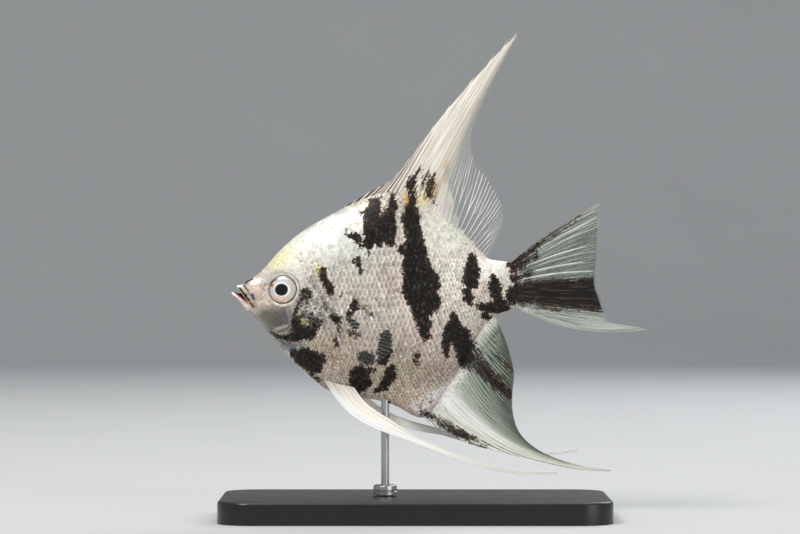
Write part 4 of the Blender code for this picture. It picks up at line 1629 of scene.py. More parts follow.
def repeated(name: str, points: Array, faces: Sequence[Sequence[int]]) -> Mesh:
    """Joins copies of one small shape into a mesh.

    Args:
        name: the mesh's name.
        points: for each copy, its vertices in millimetres.
        faces: the small shape's faces as vertex numbers.

    Returns:
        The mesh, shaded smooth with sharp rims.
    """
    count, per, _ = points.shape
    corners = np.array([v for face in faces for v in face])
    sizes = np.array([len(face) for face in faces])
    shift = (np.arange(count) * per)[:, None]
    loops = (corners[None, :] + shift).ravel()
    starts = np.concatenate([[0], np.cumsum(np.tile(sizes, count))[:-1]])
    mesh = bpy.data.meshes.new(name)
    mesh.vertices.add(count * per)
    mesh.loops.add(len(loops))
    mesh.polygons.add(len(starts))
    mesh.vertices.foreach_set("co", (points * MM).astype(np.float32).ravel())
    mesh.loops.foreach_set("vertex_index", loops.astype(np.int32))
    mesh.polygons.foreach_set("loop_start", starts.astype(np.int32))
    mesh.update(calc_edges=True)
    mesh.validate()
    mesh.shade_smooth()
    mesh.set_sharp_from_angle(angle=math.radians(50))
    return mesh


# ---------------------------------------------------------------- fins

DORSAL_RAYS: Rows = (
    (-20.2, 81.6, -18.4, 83.9, 0), (-16, 83.4, -11.6, 87.9, 0),
    (-12, 85.2, -5.9, 91.2, -0.2), (-8.2, 86.1, 0.7, 99.2, -0.2),
    (-5, 85.8, 9, 110.3, 0.1), (-2, 84.4, 22, 125.2, 0.5),
    (0.5, 82.8, 28.5, 131.8, 0.9), (3, 81.2, 25.3, 125.6, 1),
    (5.5, 79.8, 19.6, 114.4, 0.9), (8, 78.3, 15.3, 103, 0.3),
    (10, 76.8, 15.9, 96.4, -0.5), (12, 75, 19.5, 91.4, -0.4),
    (13.8, 73.4, 22.4, 86.6, -0.3), (15.4, 71.8, 23.7, 81.6, -0.2),
    (17, 70.3, 22.9, 77, 0), (18.6, 68.9, 20.6, 72, 0),
)
ANAL_RAYS: Rows = (
    (1.2, 28, 4.2, 25.2, 0), (2.6, 29, 9, 22.8, -0.4), (4, 30.4, 14.6, 19.9, -0.9),
    (5, 31.6, 22, 17.9, -1.7), (6, 32.8, 32.5, 15.6, -2.7), (7, 34.2, 43.5, 13.2, -3.7),
    (7.8, 35.4, 52.5, 12.8, -5.6), (8.8, 36.9, 45, 13.95, -4.5), (10, 39.2, 36.4, 16.6, -3.5),
    (11.2, 41.4, 30.9, 19.8, -2), (12.3, 43.6, 27.8, 23.4, -1.4), (13.4, 45.8, 26.3, 28.4, -1),
    (14.5, 48, 26.2, 33.4, -0.7), (15.8, 50.4, 26.6, 38.5, -0.5), (17.2, 52.4, 25.6, 43.5, -0.3),
    (18.6, 54, 24.3, 47.6, -0.2), (20.2, 55.2, 22.2, 52.6, 0),
)
TAIL_RAYS: Rows = (
    (24.2, 67, 50.2, 84.8, 1.2), (24.8, 65.8, 49.9, 79.6, 0.9), (25.2, 64.4, 49.6, 73.4, 0.5),
    (25.4, 62.8, 49.2, 67.2, 0.2), (25.4, 61.4, 48.9, 62.6, 0), (25.4, 60.2, 50.1, 58.9, -0.3),
    (25.3, 59.2, 51.3, 55.4, -0.7), (25.2, 58.3, 52.6, 52.7, -1.6), (25, 57.6, 63.6, 50.8, -3.7),
)
PECTORAL_RAYS: Rows = (
    (-22.6, 5.2, 52, -9, 9.4, 56.6, 0.6), (-22.5, 5.3, 51.5, -5.2, 10.2, 52, 0.4),
    (-22.4, 5.3, 51, -5, 10.4, 47, 0.2), (-22.3, 5.3, 50.5, -8.2, 10, 42.6, 0),
    (-22.2, 5.2, 50, -13, 9, 40.4, -0.2), (-22.1, 5.1, 49.4, -17.6, 7.8, 42.6, -0.3),
)
PELVIC_LEFT_EDGES: Rows = (
    (-24.3, 1.7, 36.8, -17.2, 1.7, 36.4), (-20.4, 2, 31.2, -13.4, 1.9, 31.2),
    (-16.2, 2.6, 27.2, -10.3, 2.6, 28.8), (-10.1, 3.4, 24, -6.6, 3.3, 26.6),
    (-3, 4.2, 21.4, -0.6, 4.1, 22.6), (3.2, 4.8, 19, 4.4, 4.7, 20.2),
    (10.5, 5.4, 16.3, 11.2, 5.4, 17.4), (18.1, 5.9, 13.9, 18.5, 5.9, 14.9),
    (28, 6.3, 12.2, 28.1, 6.3, 13), (37.9, 6.6, 12.3, 38, 6.6, 12.9),
)
PELVIC_RIGHT_EDGES: Rows = (
    (-24.3, 1.7, 36.8, -17.2, 1.7, 36.4), (-18.4, 2, 31.4, -11.4, 1.9, 31.4),
    (-12, 2.6, 27.6, -7.4, 2.6, 28.6), (-4.5, 3.4, 24.7, -1, 3.3, 26),
    (1.4, 4.1, 23.1, 4.2, 4.1, 24.6), (7, 4.7, 22.1, 8.8, 4.7, 23.2),
    (14, 5.3, 20.1, 15, 5.3, 21.1), (24, 5.9, 17.8, 24.4, 5.9, 18.6),
    (35, 6.4, 16.5, 35, 6.4, 17.2), (44.3, 6.6, 17.7, 44.2, 6.6, 18.3),
)


@dataclass
class Fin:
    """One fin: a web on bony rays, thicker and fleshy at the root.

    Table rows count across the fin. Spines are single stiff rays; soft rays split in two
    towards the edge.
    """

    name: str
    table: Rows
    edges: bool = False  # the table holds two edges from root to tip instead of rays
    side: int = 1
    bend: tuple[float, float] = (0.0, 0.0)
    spines: tuple[float, ...] = ()  # their places across, in table rows
    soft_from: float = 0.0
    soft_step: float = 0.4
    across: int = 300
    outward: int = 60
    root_mm: float = 1.3  # thickness at the root
    web_mm: float = 0.1
    ray_mm: float = 0.34
    flesh_mm: float = 3.6  # how far out the fin is fleshy and opaque
    uneven: float = 0.0  # how much fainter some rays are
    inked: bool = True  # whether the black patches run over the fin
    opaque: Rows = ((0.0, 0.0), (1.0, 0.0))  # table row, and how opaque the web is there
    colour_hex: str = "f2efe6"
    ray_width: float = 0.13
    splits: int = 2
    ragged: float = 0.02
    # Strokes along the rays: table row, part of the way out and half width in rows at both
    # ends, an sRGB colour, a strength, and how opaque they make the web if they do.
    streaks: Strokes = ()

    @property
    def width(self) -> int:
        """The fin's width in table rows."""
        return 1 if self.edges else len(self.table) - 1

    def middle(self, u: Array, v: Array) -> Array:
        """The fin's middle surface: u from the first ray to the last, v from root to tip.

        Args:
            u: parts of the way across.
            v: parts of the way out.

        Returns:
            x, y, z rows in millimetres.
        """
        last = len(self.table) - 1
        if self.edges:
            both = through(self.table, v * last)
            points = both[:, :3] * (1 - u)[:, None] + both[:, 3:] * u[:, None]
            return points * (1, self.side, 1)
        rows = np.asarray(self.table, float)
        if rows.shape[1] == 5:
            zero = np.zeros(len(rows))
            rows = np.stack(
                [rows[:, 0], zero, rows[:, 1], rows[:, 2], zero, rows[:, 3], rows[:, 4]], axis=1
            )
        ray = through(rows, u * last)
        root, chord, bow = ray[:, :3], ray[:, 3:6] - ray[:, :3], ray[:, 6]
        length = np.hypot(chord[:, 0], chord[:, 2])
        left = np.stack([-chord[:, 2], 0 * length, chord[:, 0]], axis=1) / length[:, None]
        points = root + chord * v[:, None] + left * (bow * 4 * v * (1 - v))[:, None]
        lean, ripple = self.bend
        points[:, 1] += lean * v**2 + ripple * v * np.sin(2 * math.pi * (1.5 * u + 0.5 * v))
        return points * (1, self.side, 1)

    def ray_places(self) -> list[tuple[float, bool]]:
        """The rays' places across in table rows, and whether each splits.

        Returns:
            A place and whether the ray splits, for each ray.
        """
        places = [(place, False) for place in self.spines]
        if self.soft_step > 0:
            count = int((self.width - self.soft_from) / self.soft_step)
            places += [(self.soft_from + self.soft_step * k, True) for k in range(count + 1)]
        return places

    def rays(self, u: Array, v: Array) -> Array:
        """How far a place belongs to a bony ray, from 0 to 1.

        Args:
            u: parts of the way across.
            v: parts of the way out.

        Returns:
            One number per place.
        """
        at = u * self.width
        best = np.zeros(len(u))
        for place, forks in self.ray_places():
            if not forks:
                best = np.maximum(best, hill((at - place) / (0.14 * (1.2 - v))))
                continue
            branches = [0.0]
            for level in range(self.splits):
                spread = self.soft_step * 0.25 / (level + 1) * smooth((v - 0.3 - 0.28 * level) / 0.4)
                branches = [shift + s * spread for shift in branches for s in (-1, 1)]
            width = self.soft_step * self.ray_width * (1 - 0.35 * v)
            strength = 1 - self.uneven * scatter(np.array([[round(place * 100)]]), 61)[0]
            for shift in branches:
                best = np.maximum(best, strength * hill((at - place - shift) / width))
        return best

    def streak(
        self, row: Array, v: Array, tints: Array, flesh: Array
    ) -> Array:
        """Draws the streaks over colours in place.

        Args:
            row: table rows across the fin.
            v: part of the way out.
            tints: linear RGBA rows.
            flesh: how opaque the web is.

        Returns:
            How opaque the web is with the streaks on it.
        """
        for row_a, out_a, wide_a, row_b, out_b, wide_b, code, strength, *cover in self.streaks:
            t = np.clip((v - out_a) / (out_b - out_a), 0, 1)
            wide = wide_a + (wide_b - wide_a) * t
            gap = np.abs(row - row_a - (row_b - row_a) * t)
            ends = smooth((v - out_a) / 0.08 + 0.5) * smooth((out_b - v) / 0.1 + 0.5)
            amount = smooth(0.5 + (wide - gap) / wide) * ends
            blend(tints, code, strength * amount)
            flesh = np.maximum(flesh, sum(cover) * amount)
        return flesh

    def thickness(self, v: Array, ray: Array) -> Array:
        """The fin's thickness in millimetres, part of the way out and on or between rays."""
        thick = self.web_mm + (self.ray_mm - self.web_mm) * ray * (1 - 0.6 * v)
        return np.maximum(thick, self.root_mm * (1 - v) ** 4)

    def make(self, finish: Material, node: str) -> None:
        """Builds the fin.

        Args:
            finish: the fin's material.
            node: the solid it stands for.
        """
        bm = bmesh.new()
        bmesh.ops.create_grid(bm, x_segments=self.across, y_segments=self.outward, size=1)
        mesh = mesh_from(bm, self.name, 1.0)
        flat = coordinates(mesh)
        u, v = (flat[:, 0] + 1) / 2, (flat[:, 1] + 1) / 2
        ray = self.rays(u, v)
        jag = 1 - self.ragged * (1 - ray) * smooth((v - 0.8) / 0.2) * 2
        points = self.middle(u, v * jag)
        move_to(mesh, points)
        away = np.linalg.norm(points - self.middle(u, 0 * v), axis=1)
        flesh = 1 - smooth(away / self.flesh_mm - 0.4)
        row = u * self.width
        zones = np.asarray(self.opaque)
        flesh = np.maximum(flesh, np.interp(row, zones[:, 0], zones[:, 1]))
        thick = self.thickness(v, ray)
        most = float(thick.max())
        tints = np.tile(np.array(srgb(self.colour_hex)), (len(points), 1))
        root = (1 - smooth(v / 0.12))[:, None]
        tints += (MARKINGS.tint(points) - tints) * root
        flesh = self.streak(row, v, tints, flesh)
        MARKINGS.paint(points, tints, FIN_STROKES)
        black = MARKINGS.black(points * (1, 0, 1)) - NO_BLACK * (not self.inked)
        silver = MARKINGS.silver(points) * self.inked * (1 - smooth(away / SILVER_REACH))
        store(mesh, ray=ray, flesh=flesh, black=black, crinkled=silver, tint=tints)
        unwrap(mesh, np.stack([u, v], axis=1))
        fin = piece(self.name, mesh, finish, "fin", node)
        group = fin.vertex_groups.new(name="thickness")
        for index, share in enumerate(thick / most):
            group.add([index], float(share), "REPLACE")
        web = fin.modifiers.new("web", "SOLIDIFY")
        web.thickness = most * MM
        web.offset = 0
        web.vertex_group = "thickness"
        web.thickness_vertex_group = 0.0


@dataclass(kw_only=True)
class SheathScales(ScaleCoat):
    """Small scales that run from the body out over one face of a fin's root.

    The coat's axes are the place across the fin from 0 to 1 and millimetres out from its root.
    """

    fin: Fin
    reach: Rows  # table row, and how far out the scales go
    pitch: float = 0.66
    row: float = 0.78
    lift: float = 0.04
    thick: float = 0.04
    netting: float = 0.4
    root_height: float = 62.0  # roots above this lie on the back, the others on the belly
    map_step: float = 0.003  # how far apart scales lie on the map, per millimetre outwards

    def surface(self, places: Array) -> tuple[Array, Array]:
        """Points in millimetres and outward normals at places on the fin's face.

        Args:
            places: rows of the coat's two axes.

        Returns:
            The points and the normals.
        """
        u = np.clip(places[:, 0], 0, 1)
        full = self.fin.middle(u, np.ones(len(u))) - self.fin.middle(u, np.zeros(len(u)))
        v = np.clip(places[:, 1] / np.linalg.norm(full, axis=1), 0, 1)
        here = self.fin.middle(u, v)
        across = self.fin.middle(np.minimum(u + 0.004, 1), v) - self.fin.middle(u - 0.004, v)
        outward = self.fin.middle(u, v + 0.01) - here
        out = np.cross(across, outward)
        out /= np.linalg.norm(out, axis=1, keepdims=True) + 1e-12
        out *= (np.sign(out[:, 1]) * self.side.value)[:, None]
        face = self.fin.thickness(v, 0 * v) / 2 + COAT_DEPTH - 0.02
        return here + out * face[:, None], out

    def chart(self, places: Array) -> Array:
        """Where the places lie on the unwrap of the skin: beside the back's or belly's ridge.

        Args:
            places: rows of the coat's two axes.

        Returns:
            UV rows.
        """
        points, _ = self.surface(places)
        away = self.map_step * (1 + places[:, 1]) * self.side.value
        upper = points[:, 2].mean() > self.root_height
        turn = 0.5 - away if upper else np.where(away > 0, away, 1 + away)
        return np.stack([turn, up_the_map(points[:, 0])], axis=1)

    def fade(self, places: Array, tints: Array) -> Array:
        """Turns the tints towards the fin's own colour further out, and says how far.

        Args:
            places: rows of the coat's two axes.
            tints: their linear RGBA rows.

        Returns:
            One number per place.
        """
        limits = np.asarray(self.reach, float)
        far = np.interp(places[:, 0] * self.fin.width, limits[:, 0], limits[:, 1])
        share = smooth(places[:, 1] / far)
        blend(tints, self.fin.colour_hex, 0.9 * share)
        return share

    def make(self, finish: Material) -> None:
        """Builds the sheath: staggered rows from the fin's root outwards, none buried in the body.

        Args:
            finish: the scales' material.
        """
        fine = np.linspace(0, 1, 400)
        roots = self.fin.middle(fine, np.zeros(400))
        arc = np.concatenate([[0], np.cumsum(np.linalg.norm(np.diff(roots, axis=0), axis=1))])
        limits = np.asarray(self.reach, float)
        rows = []
        for k, along in enumerate(np.arange(0.2, arc[-1] - 0.1, self.row / 2)):
            u = float(np.interp(along, arc, fine))
            far = float(np.interp(u * self.fin.width, limits[:, 0], limits[:, 1]))
            for step in range(int(far / self.pitch) + 1):
                out = (step + 0.5 * (k % 2)) * self.pitch
                end = far * (0.85 + 0.3 * math.sin(2.4 * k) * math.sin(1.1 * k))
                if out < end:
                    rows.append((u, out, 1 - 0.4 * out / max(far, 1), k, step))
        table = np.array(rows)
        edges, _ = self.surface(table[:, :2] + table[:, 2:3] * (0, self.pitch))
        table = table[np.abs(edges[:, 1]) > FORM.flank(edges[:, 0], edges[:, 2])]
        size = table[:, 2]
        wide = 0.56 * self.row * size / arc[-1]
        half = 0.95 * self.pitch * size
        zero = np.zeros(len(table))
        turn = -self.side.value if self.faces_up() else self.side.value
        self.grow(
            finish, table[:, :2], np.stack([zero, half], axis=1),
            np.stack([turn * wide, zero], axis=1), half, table[:, 3:5],
        )

    def faces_up(self) -> bool:
        """Whether going outwards with the first ray on the left shows the fin's +Y face.

        Returns:
            True if it does.
        """
        near = np.array([0.5])
        here = self.fin.middle(near, np.array([0.1]))
        across = self.fin.middle(near + 0.02, np.array([0.1])) - here
        outward = self.fin.middle(near, np.array([0.15])) - here
        return bool(np.cross(outward, across)[0, 1] < 0)


# ---------------------------------------------------------------- eyes

# Colours of the eye's front out from the pupil's middle: millimetres and sRGB.
IRIS_BANDS: tuple[tuple[float, str], ...] = (
    (0, "040507"), (1.62, "060709"), (1.74, "4a5458"), (1.82, "eaf1f4"), (2.05, "f6fafa"),
    (2.3, "dfe0dc"), (2.7, "c9c5bc"), (3.1, "cfc3b6"), (3.4, "b9ab9e"), (3.54, "55463f"),
    (3.64, "a3968c"), (3.72, "d8d0c8"),
)
# Soft marks on the iris, the last a painted highlight: x, z and radius at both ends, sRGB, strength.
IRIS_MARKS: Strokes = (
    (-36.9, 64, 0.6, -34.6, 64.2, 0.6, "a4aeb2", 0.8),
    (-38.2, 61.2, 0.5, -37.8, 60, 0.5, "c6cacd", 0.7),
    (-37.3, 59.2, 0.6, -34.4, 58.6, 0.6, "e8c4b4", 0.8),
    (-38.5, 62.4, 0.22, -37.8, 63.6, 0.28, "4a2e28", 0.85),
    (-37.8, 63.6, 0.26, -36.7, 64.3, 0.2, "5a3c34", 0.8),
    (-38.1, 62.3, 0.36, -38, 62.5, 0.36, "c03a30", 0.75),
    (-36.8, 58.6, 0.13, -36.7, 58.6, 0.13, "8a5f4c", 0.8),
    (-35.6, 58.2, 0.12, -35.5, 58.2, 0.12, "8a5f4c", 0.8),
    (-34.8, 58.8, 0.13, -34.7, 58.8, 0.13, "8a5f4c", 0.8),
    (-33.9, 59.2, 0.12, -33.8, 59.2, 0.12, "8a5f4c", 0.8),
    # painted highlight: a white catchlight beside the pupil
    (-33.9, 60.7, 0.32, -33.7, 61.5, 0.36, "ffffff", 0.85),
)


@dataclass
class Eye:
    """One eye: a flattened ball set in the head, turned towards the snout."""

    side: Side
    radius: float = EYE_RADIUS
    bulge: float = 0.8
    depth: float = 3.0
    turn: float = math.radians(11)
    roll: float = math.radians(4)
    pupil: tuple[float, float] = (-0.3, -0.05)  # from the eye's middle
    pupil_height: float = 0.9  # in widths
    rings: int = 140

    def make(self, finish: Material) -> None:
        """Builds the eye.

        Args:
            finish: the eye's material.
        """
        name = f"eye_{self.side.word}"
        sign = self.side.value
        bm = bmesh.new()
        bmesh.ops.create_uvsphere(bm, u_segments=112, v_segments=self.rings, radius=1)
        for vert in bm.verts:
            vert.co.z *= self.bulge if vert.co.z > 0 else self.depth
            vert.co.xy *= self.radius
        outward = Matrix.Rotation(-sign * math.pi / 2, 3, "X")
        turned = Matrix.Rotation(sign * self.turn, 3, "Z") @ Matrix.Rotation(sign * self.roll, 3, "X")
        bmesh.ops.rotate(bm, matrix=turned @ outward, verts=bm.verts)
        x, y, z = self.place()
        bmesh.ops.translate(bm, vec=(x, sign * y, z), verts=bm.verts)
        mesh = mesh_from(bm, name)
        points = coordinates(mesh) / MM
        across, up = points[:, 0] - x, points[:, 2] - z
        reach = np.hypot(across - self.pupil[0], (up - self.pupil[1]) / self.pupil_height)
        whole = np.hypot(across, up)
        reach += (whole - reach) * smooth((whole - 1.9) / 1.3)
        bands = np.array([srgb(code) for _, code in IRIS_BANDS])
        places = [place for place, _ in IRIS_BANDS]
        tints = np.stack([np.interp(reach, places, band) for band in bands.T], axis=1)
        pupil = smooth((reach - 1.67) / 0.12)
        painted = tints.copy()
        MARKINGS.paint(points, painted, IRIS_MARKS)
        tints += (painted - tints) * pupil[:, None]
        store(mesh, tint=tints, silver=pupil)
        piece(name, mesh, finish, "eye", name)

    def place(self) -> Place:
        """The eyeball's middle in the side view and its distance from the middle plane.

        Returns:
            x, the distance and z, in millimetres.
        """
        low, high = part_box(f"eye_{self.side.word}")
        middle = (low + high) / (2 * MM)
        return middle.x, EYE_OUT, middle.z


# ---------------------------------------------------------------- stand and studio


@dataclass
class Stand:
    """The plain display stand: a satin base with a steel rod in a turned ferrule."""

    base: Place = (104.0, 54.0, 6.0)
    corner: float = 9.0
    edge: float = 0.8
    rod_x: float = -8.0
    rod_radius: float = 1.1
    rod_foot: float = 6.3
    rod_top: float = 40.0
    ferrule_radius: float = 3.2
    ferrule_top: float = 9.0

    def plate(self, finish: Material) -> None:
        """Makes the base with rounded corners and edges.

        Args:
            finish: the base's material.
        """
        length, width, height = self.base
        bm = bmesh.new()
        bmesh.ops.create_cube(bm, size=1)
        bmesh.ops.scale(bm, vec=(length, width, height), verts=bm.verts)
        bmesh.ops.translate(bm, vec=(0, 0, height / 2), verts=bm.verts)
        upright = [e for e in bm.edges if abs(e.verts[0].co.z - e.verts[1].co.z) > 1]
        bmesh.ops.bevel(
            bm, geom=upright, offset=self.corner, segments=24, profile=0.5, affect="EDGES",
            material=-1,
        )
        rim = [e for e in bm.edges if min(v.co.z for v in e.verts) > height - 0.01]
        bmesh.ops.bevel(
            bm, geom=rim, offset=self.edge, segments=5, profile=0.5, affect="EDGES", material=-1
        )
        mesh = mesh_from(bm, "base_plate")
        mesh.set_sharp_from_angle(angle=math.radians(35))
        piece("base_plate", mesh, finish, "stand_base", "stand_base")

    def turned(
        self, name: str, finish: Material, outline: Sequence[tuple[float, float]],
        node: str,
    ) -> None:
        """Spins an outline of radius and height about the rod's line.

        Args:
            name: the piece's name.
            finish: its material.
            outline: a closed outline of radius and height.
            node: the solid it stands for.
        """
        bm = bmesh.new()
        points = [bm.verts.new((self.rod_x + radius, 0, z)) for radius, z in outline]
        closed = outline[0][0] > 0
        edges = [bm.edges.new(pair) for pair in zip(points, points[1:] + points[:1])]
        if not closed:
            bmesh.ops.delete(bm, geom=edges[-1:], context="EDGES")
            edges = edges[:-1]
        bmesh.ops.spin(
            bm, geom=points + edges, cent=(self.rod_x, 0, 0), axis=(0, 0, 1), dvec=(0, 0, 0),
            angle=2 * math.pi, steps=48, use_merge=True,
        )
        bmesh.ops.remove_doubles(bm, verts=bm.verts, dist=1e-4)
        bmesh.ops.recalc_face_normals(bm, faces=bm.faces)
        mesh = mesh_from(bm, name)
        mesh.set_sharp_from_angle(angle=math.radians(35))
        piece(name, mesh, finish, "stand_metal", node)

    def make(self, acrylic: Material, steel: Material) -> None:
        """Builds the stand's three pieces.

        Args:
            acrylic: the base's material.
            steel: the rod's and the ferrule's.
        """
        self.plate(acrylic)
        r, low, top = self.rod_radius, self.rod_foot, self.rod_top
        rod = ((0.0, low), (r - 0.1, low), (r, low + 0.1), (r, top - 0.2), (r - 0.2, top), (0.0, top))
        self.turned("rod", steel, rod, "stand_rod")
        outer, inner = self.ferrule_radius, r + 0.3
        foot, head = self.rod_foot, self.ferrule_top
        ring = (
            (inner, foot), (outer - 0.1, foot), (outer, foot + 0.1), (outer, foot + 0.9),
            (outer - 0.25, foot + 1.1), (outer - 0.25, foot + 1.3), (outer, foot + 1.5),
            (outer, head - 0.6), (outer - 0.15, head - 0.2), (outer - 0.5, head), (inner, head),
        )
        self.turned("ferrule", steel, ring, "stand_ferrule")


@dataclass
class Studio:
    """Pale sweep, soft lights and the camera."""

    sweep_width: float = 5.0
    front: float = -3.0
    back: float = 1.4
    rise: float = 1.6
    camera_x: float = -0.00402
    camera_distance: float = 0.893
    camera_height: float = 0.0673
    lens: float = 150.0

    def sweep(self, finish: Material) -> None:
        """Lays the floor and curves it up behind the model.

        Args:
            finish: the sweep's material.
        """
        bm = bmesh.new()
        bend = 0.5
        start = bm.verts.new((-self.sweep_width / 2, self.front, 0))
        foot = bm.verts.new((-self.sweep_width / 2, self.back, 0))
        bm.edges.new((start, foot))
        turned = bmesh.ops.spin(
            bm, geom=[foot], cent=(-self.sweep_width / 2, self.back, bend), axis=(1, 0, 0),
            dvec=(0, 0, 0), angle=math.pi / 2, steps=24,
        )
        top = [v for v in turned["geom_last"] if isinstance(v, BMVert)]
        end = bmesh.ops.extrude_vert_indiv(bm, verts=top)["verts"]
        bmesh.ops.translate(bm, vec=(0, 0, self.rise), verts=end)
        walls = bmesh.ops.extrude_edge_only(bm, edges=bm.edges[:])
        moved = [g for g in walls["geom"] if isinstance(g, BMVert)]
        bmesh.ops.translate(bm, vec=(self.sweep_width, 0, 0), verts=moved)
        bmesh.ops.recalc_face_normals(bm, faces=bm.faces)
        mesh = mesh_from(bm, "floor", 1.0)
        mesh.materials.append(finish)
        linked("floor", mesh)

    def light(
        self, name: str, place: Place, size: float, power: float,
        tone: str = "ffffff",
    ) -> None:
        """Hangs a square soft light that looks at the model.

        Args:
            name: the light's name.
            place: where it hangs, in metres.
            size: its side in metres.
            power: in watts.
            tone: its sRGB colour.
        """
        lamp = bpy.data.lights.new(name, "AREA")
        lamp.size = size
        lamp.energy = power
        lamp.color = srgb(tone)[:3]
        obj = linked(name, lamp)
        obj.location = place
        aim = Vector((0, 0, 0.06)) - Vector(place)
        obj.rotation_euler = aim.to_track_quat("-Z", "Y").to_euler()

    def make(self, paper: Material) -> None:
        """Builds the studio round the model.

        Args:
            paper: the sweep's material.
        """
        self.sweep(paper)
        self.light("key", (-0.5, -0.7, 0.95), 0.42, 10.4, "fffaf2")
        self.light("fill", (0.9, -0.9, 0.3), 0.8, 4.0)
        self.light("top", (0.0, 0.1, 1.1), 0.9, 6.0)
        self.light("rim", (0.5, 0.8, 0.7), 0.6, 5.0)
        bpy.context.scene.view_settings.view_transform = "Standard"
        world = bpy.data.worlds.new("studio")
        world.use_nodes = True
        sky = world.node_tree.nodes["Background"]
        sky.inputs["Color"].default_value = srgb("e9edf0")
        sky.inputs["Strength"].default_value = 0.42
        bpy.context.scene.world = world
        camera = bpy.data.cameras.new("camera")
        camera.lens = self.lens
        camera.sensor_width = 36.0
        camera.clip_start = 0.01
        obj = linked("camera", camera)
        obj.location = (self.camera_x, -self.camera_distance, self.camera_height)
        obj.rotation_euler = (math.pi / 2, 0, 0)
        bpy.context.scene.camera = obj


# ---------------------------------------------------------------- the whole model

DORSAL = Fin(
    "dorsal", DORSAL_RAYS, bend=(1.5, 0.6), spines=tuple(0.45 * k for k in range(14)),
    soft_from=6.2, soft_step=0.44, across=420, outward=80, ray_width=0.095, flesh_mm=1.3,
    colour_hex="e9e3d6", splits=1, uneven=0.3,
    opaque=((0, 0.96), (5.4, 1), (6.7, 0.92), (7.6, 0.62), (8.6, 0.25), (9.8, 0)),
    ragged=0.035,
    streaks=(
        (1.4, -0.1, 1.8, 1.8, 1, 1.4, "c9b3aa", 0.75), (0.2, 0, 0.2, 0.3, 1, 0.2, "2e2320", 1),
        (0.7, 0, 0.17, 0.7, 1, 0.16, "3a2c28", 1), (1.2, 0, 0.18, 1.2, 1, 0.16, "2e2320", 1),
        (1.65, 0, 0.15, 1.65, 1, 0.13, "4a3933", 1),
        (2.1, 0, 0.15, 2.15, 1, 0.12, "332723", 1),
        (2.55, 0, 0.13, 2.55, 1, 0.09, "54423b", 0.95),
        (2.95, 0, 0.13, 3, 0.95, 0.07, "3a2e2a", 0.95),
        (3.35, 0, 0.11, 3.35, 0.9, 0.06, "7c685f", 0.8),
        (3.75, 0, 0.1, 3.8, 0.8, 0.05, "66544c", 0.8), (4.1, 0, 0.09, 4.15, 0.6, 0.04, "8d7a6e", 0.7),
        (4.4, 0.14, 0.06, 4.5, 0.95, 0.04, "a9a194", 0.5),
        (5.2, 0.16, 0.06, 5.2, 0.95, 0.04, "b0a898", 0.5),
        (6.1, 0.1, 0.07, 6.1, 0.8, 0.05, "c9a468", 0.6, 0.6),
        (6.6, 0.08, 0.09, 6.5, 0.62, 0.05, "c79256", 0.6, 0.6),
        (7.2, 0.1, 0.08, 7.1, 0.7, 0.05, "cfae7a", 0.55, 0.5),
        (7.9, -0.1, 0.9, 7.7, 0.3, 0.7, "e8dcd3", 0.9, 0.95),
        (8.9, -0.1, 0.8, 8.8, 0.32, 0.5, "e4e0da", 0.9, 0.85),
        (9.9, -0.1, 0.6, 9.8, 0.2, 0.3, "dedfdc", 0.8, 0.6),
        (7.9, 0.1, 0.1, 7.7, 0.6, 0.06, "d8d8cc", 0.7, 0.7),
        (8.6, 0.1, 0.1, 8.5, 0.55, 0.07, "d4d8d2", 0.6, 0.5),
        (11.2, 0.45, 0.12, 11, 0.8, 0.08, "d5dfe4", 0.6, 0.3),
    ),
)
ANAL = Fin(
    "anal", ANAL_RAYS, bend=(-1.2, 0.6), spines=tuple(0.6 * k for k in range(7)),
    soft_from=4.2, soft_step=0.42, across=420, outward=80, ray_width=0.14, flesh_mm=4.5,
    colour_hex="e2e6da",
    opaque=((0, 1), (5.8, 1), (6.6, 0.85), (8, 0.45), (11, 0.1), (16, 0)),
    streaks=(
        (5, -0.1, 2, 5.6, 0.55, 0.9, "ffffff", 0.85), (0.4, 0.1, 0.12, 0.6, 0.9, 0.1, "5c5148", 0.7),
        (1.1, 0.1, 0.14, 1.1, 1, 0.12, "4d443c", 0.7), (1.6, 0.3, 0.1, 1.6, 1, 0.1, "3a322b", 0.8),
        (2.1, 0.4, 0.12, 2, 1, 0.1, "efe9e2", 0.7), (2.5, 0.45, 0.14, 2.4, 1, 0.12, "3d342d", 0.8),
        (3, 0.3, 0.1, 2.9, 1, 0.08, "c7bdb2", 0.6), (3.5, 0.6, 0.12, 3.5, 1, 0.1, "453c34", 0.75),
        (4, 0.65, 0.1, 4, 1, 0.1, "5a5047", 0.7), (4.6, 0.1, 0.08, 4.5, 0.95, 0.04, "c3c9c0", 0.5),
        (5.3, 0.1, 0.08, 5.3, 0.95, 0.04, "b9c2b8", 0.5), (6.2, 0.1, 0.1, 6.1, 0.95, 0.05, "a8b3a6", 0.5),
    ),
)
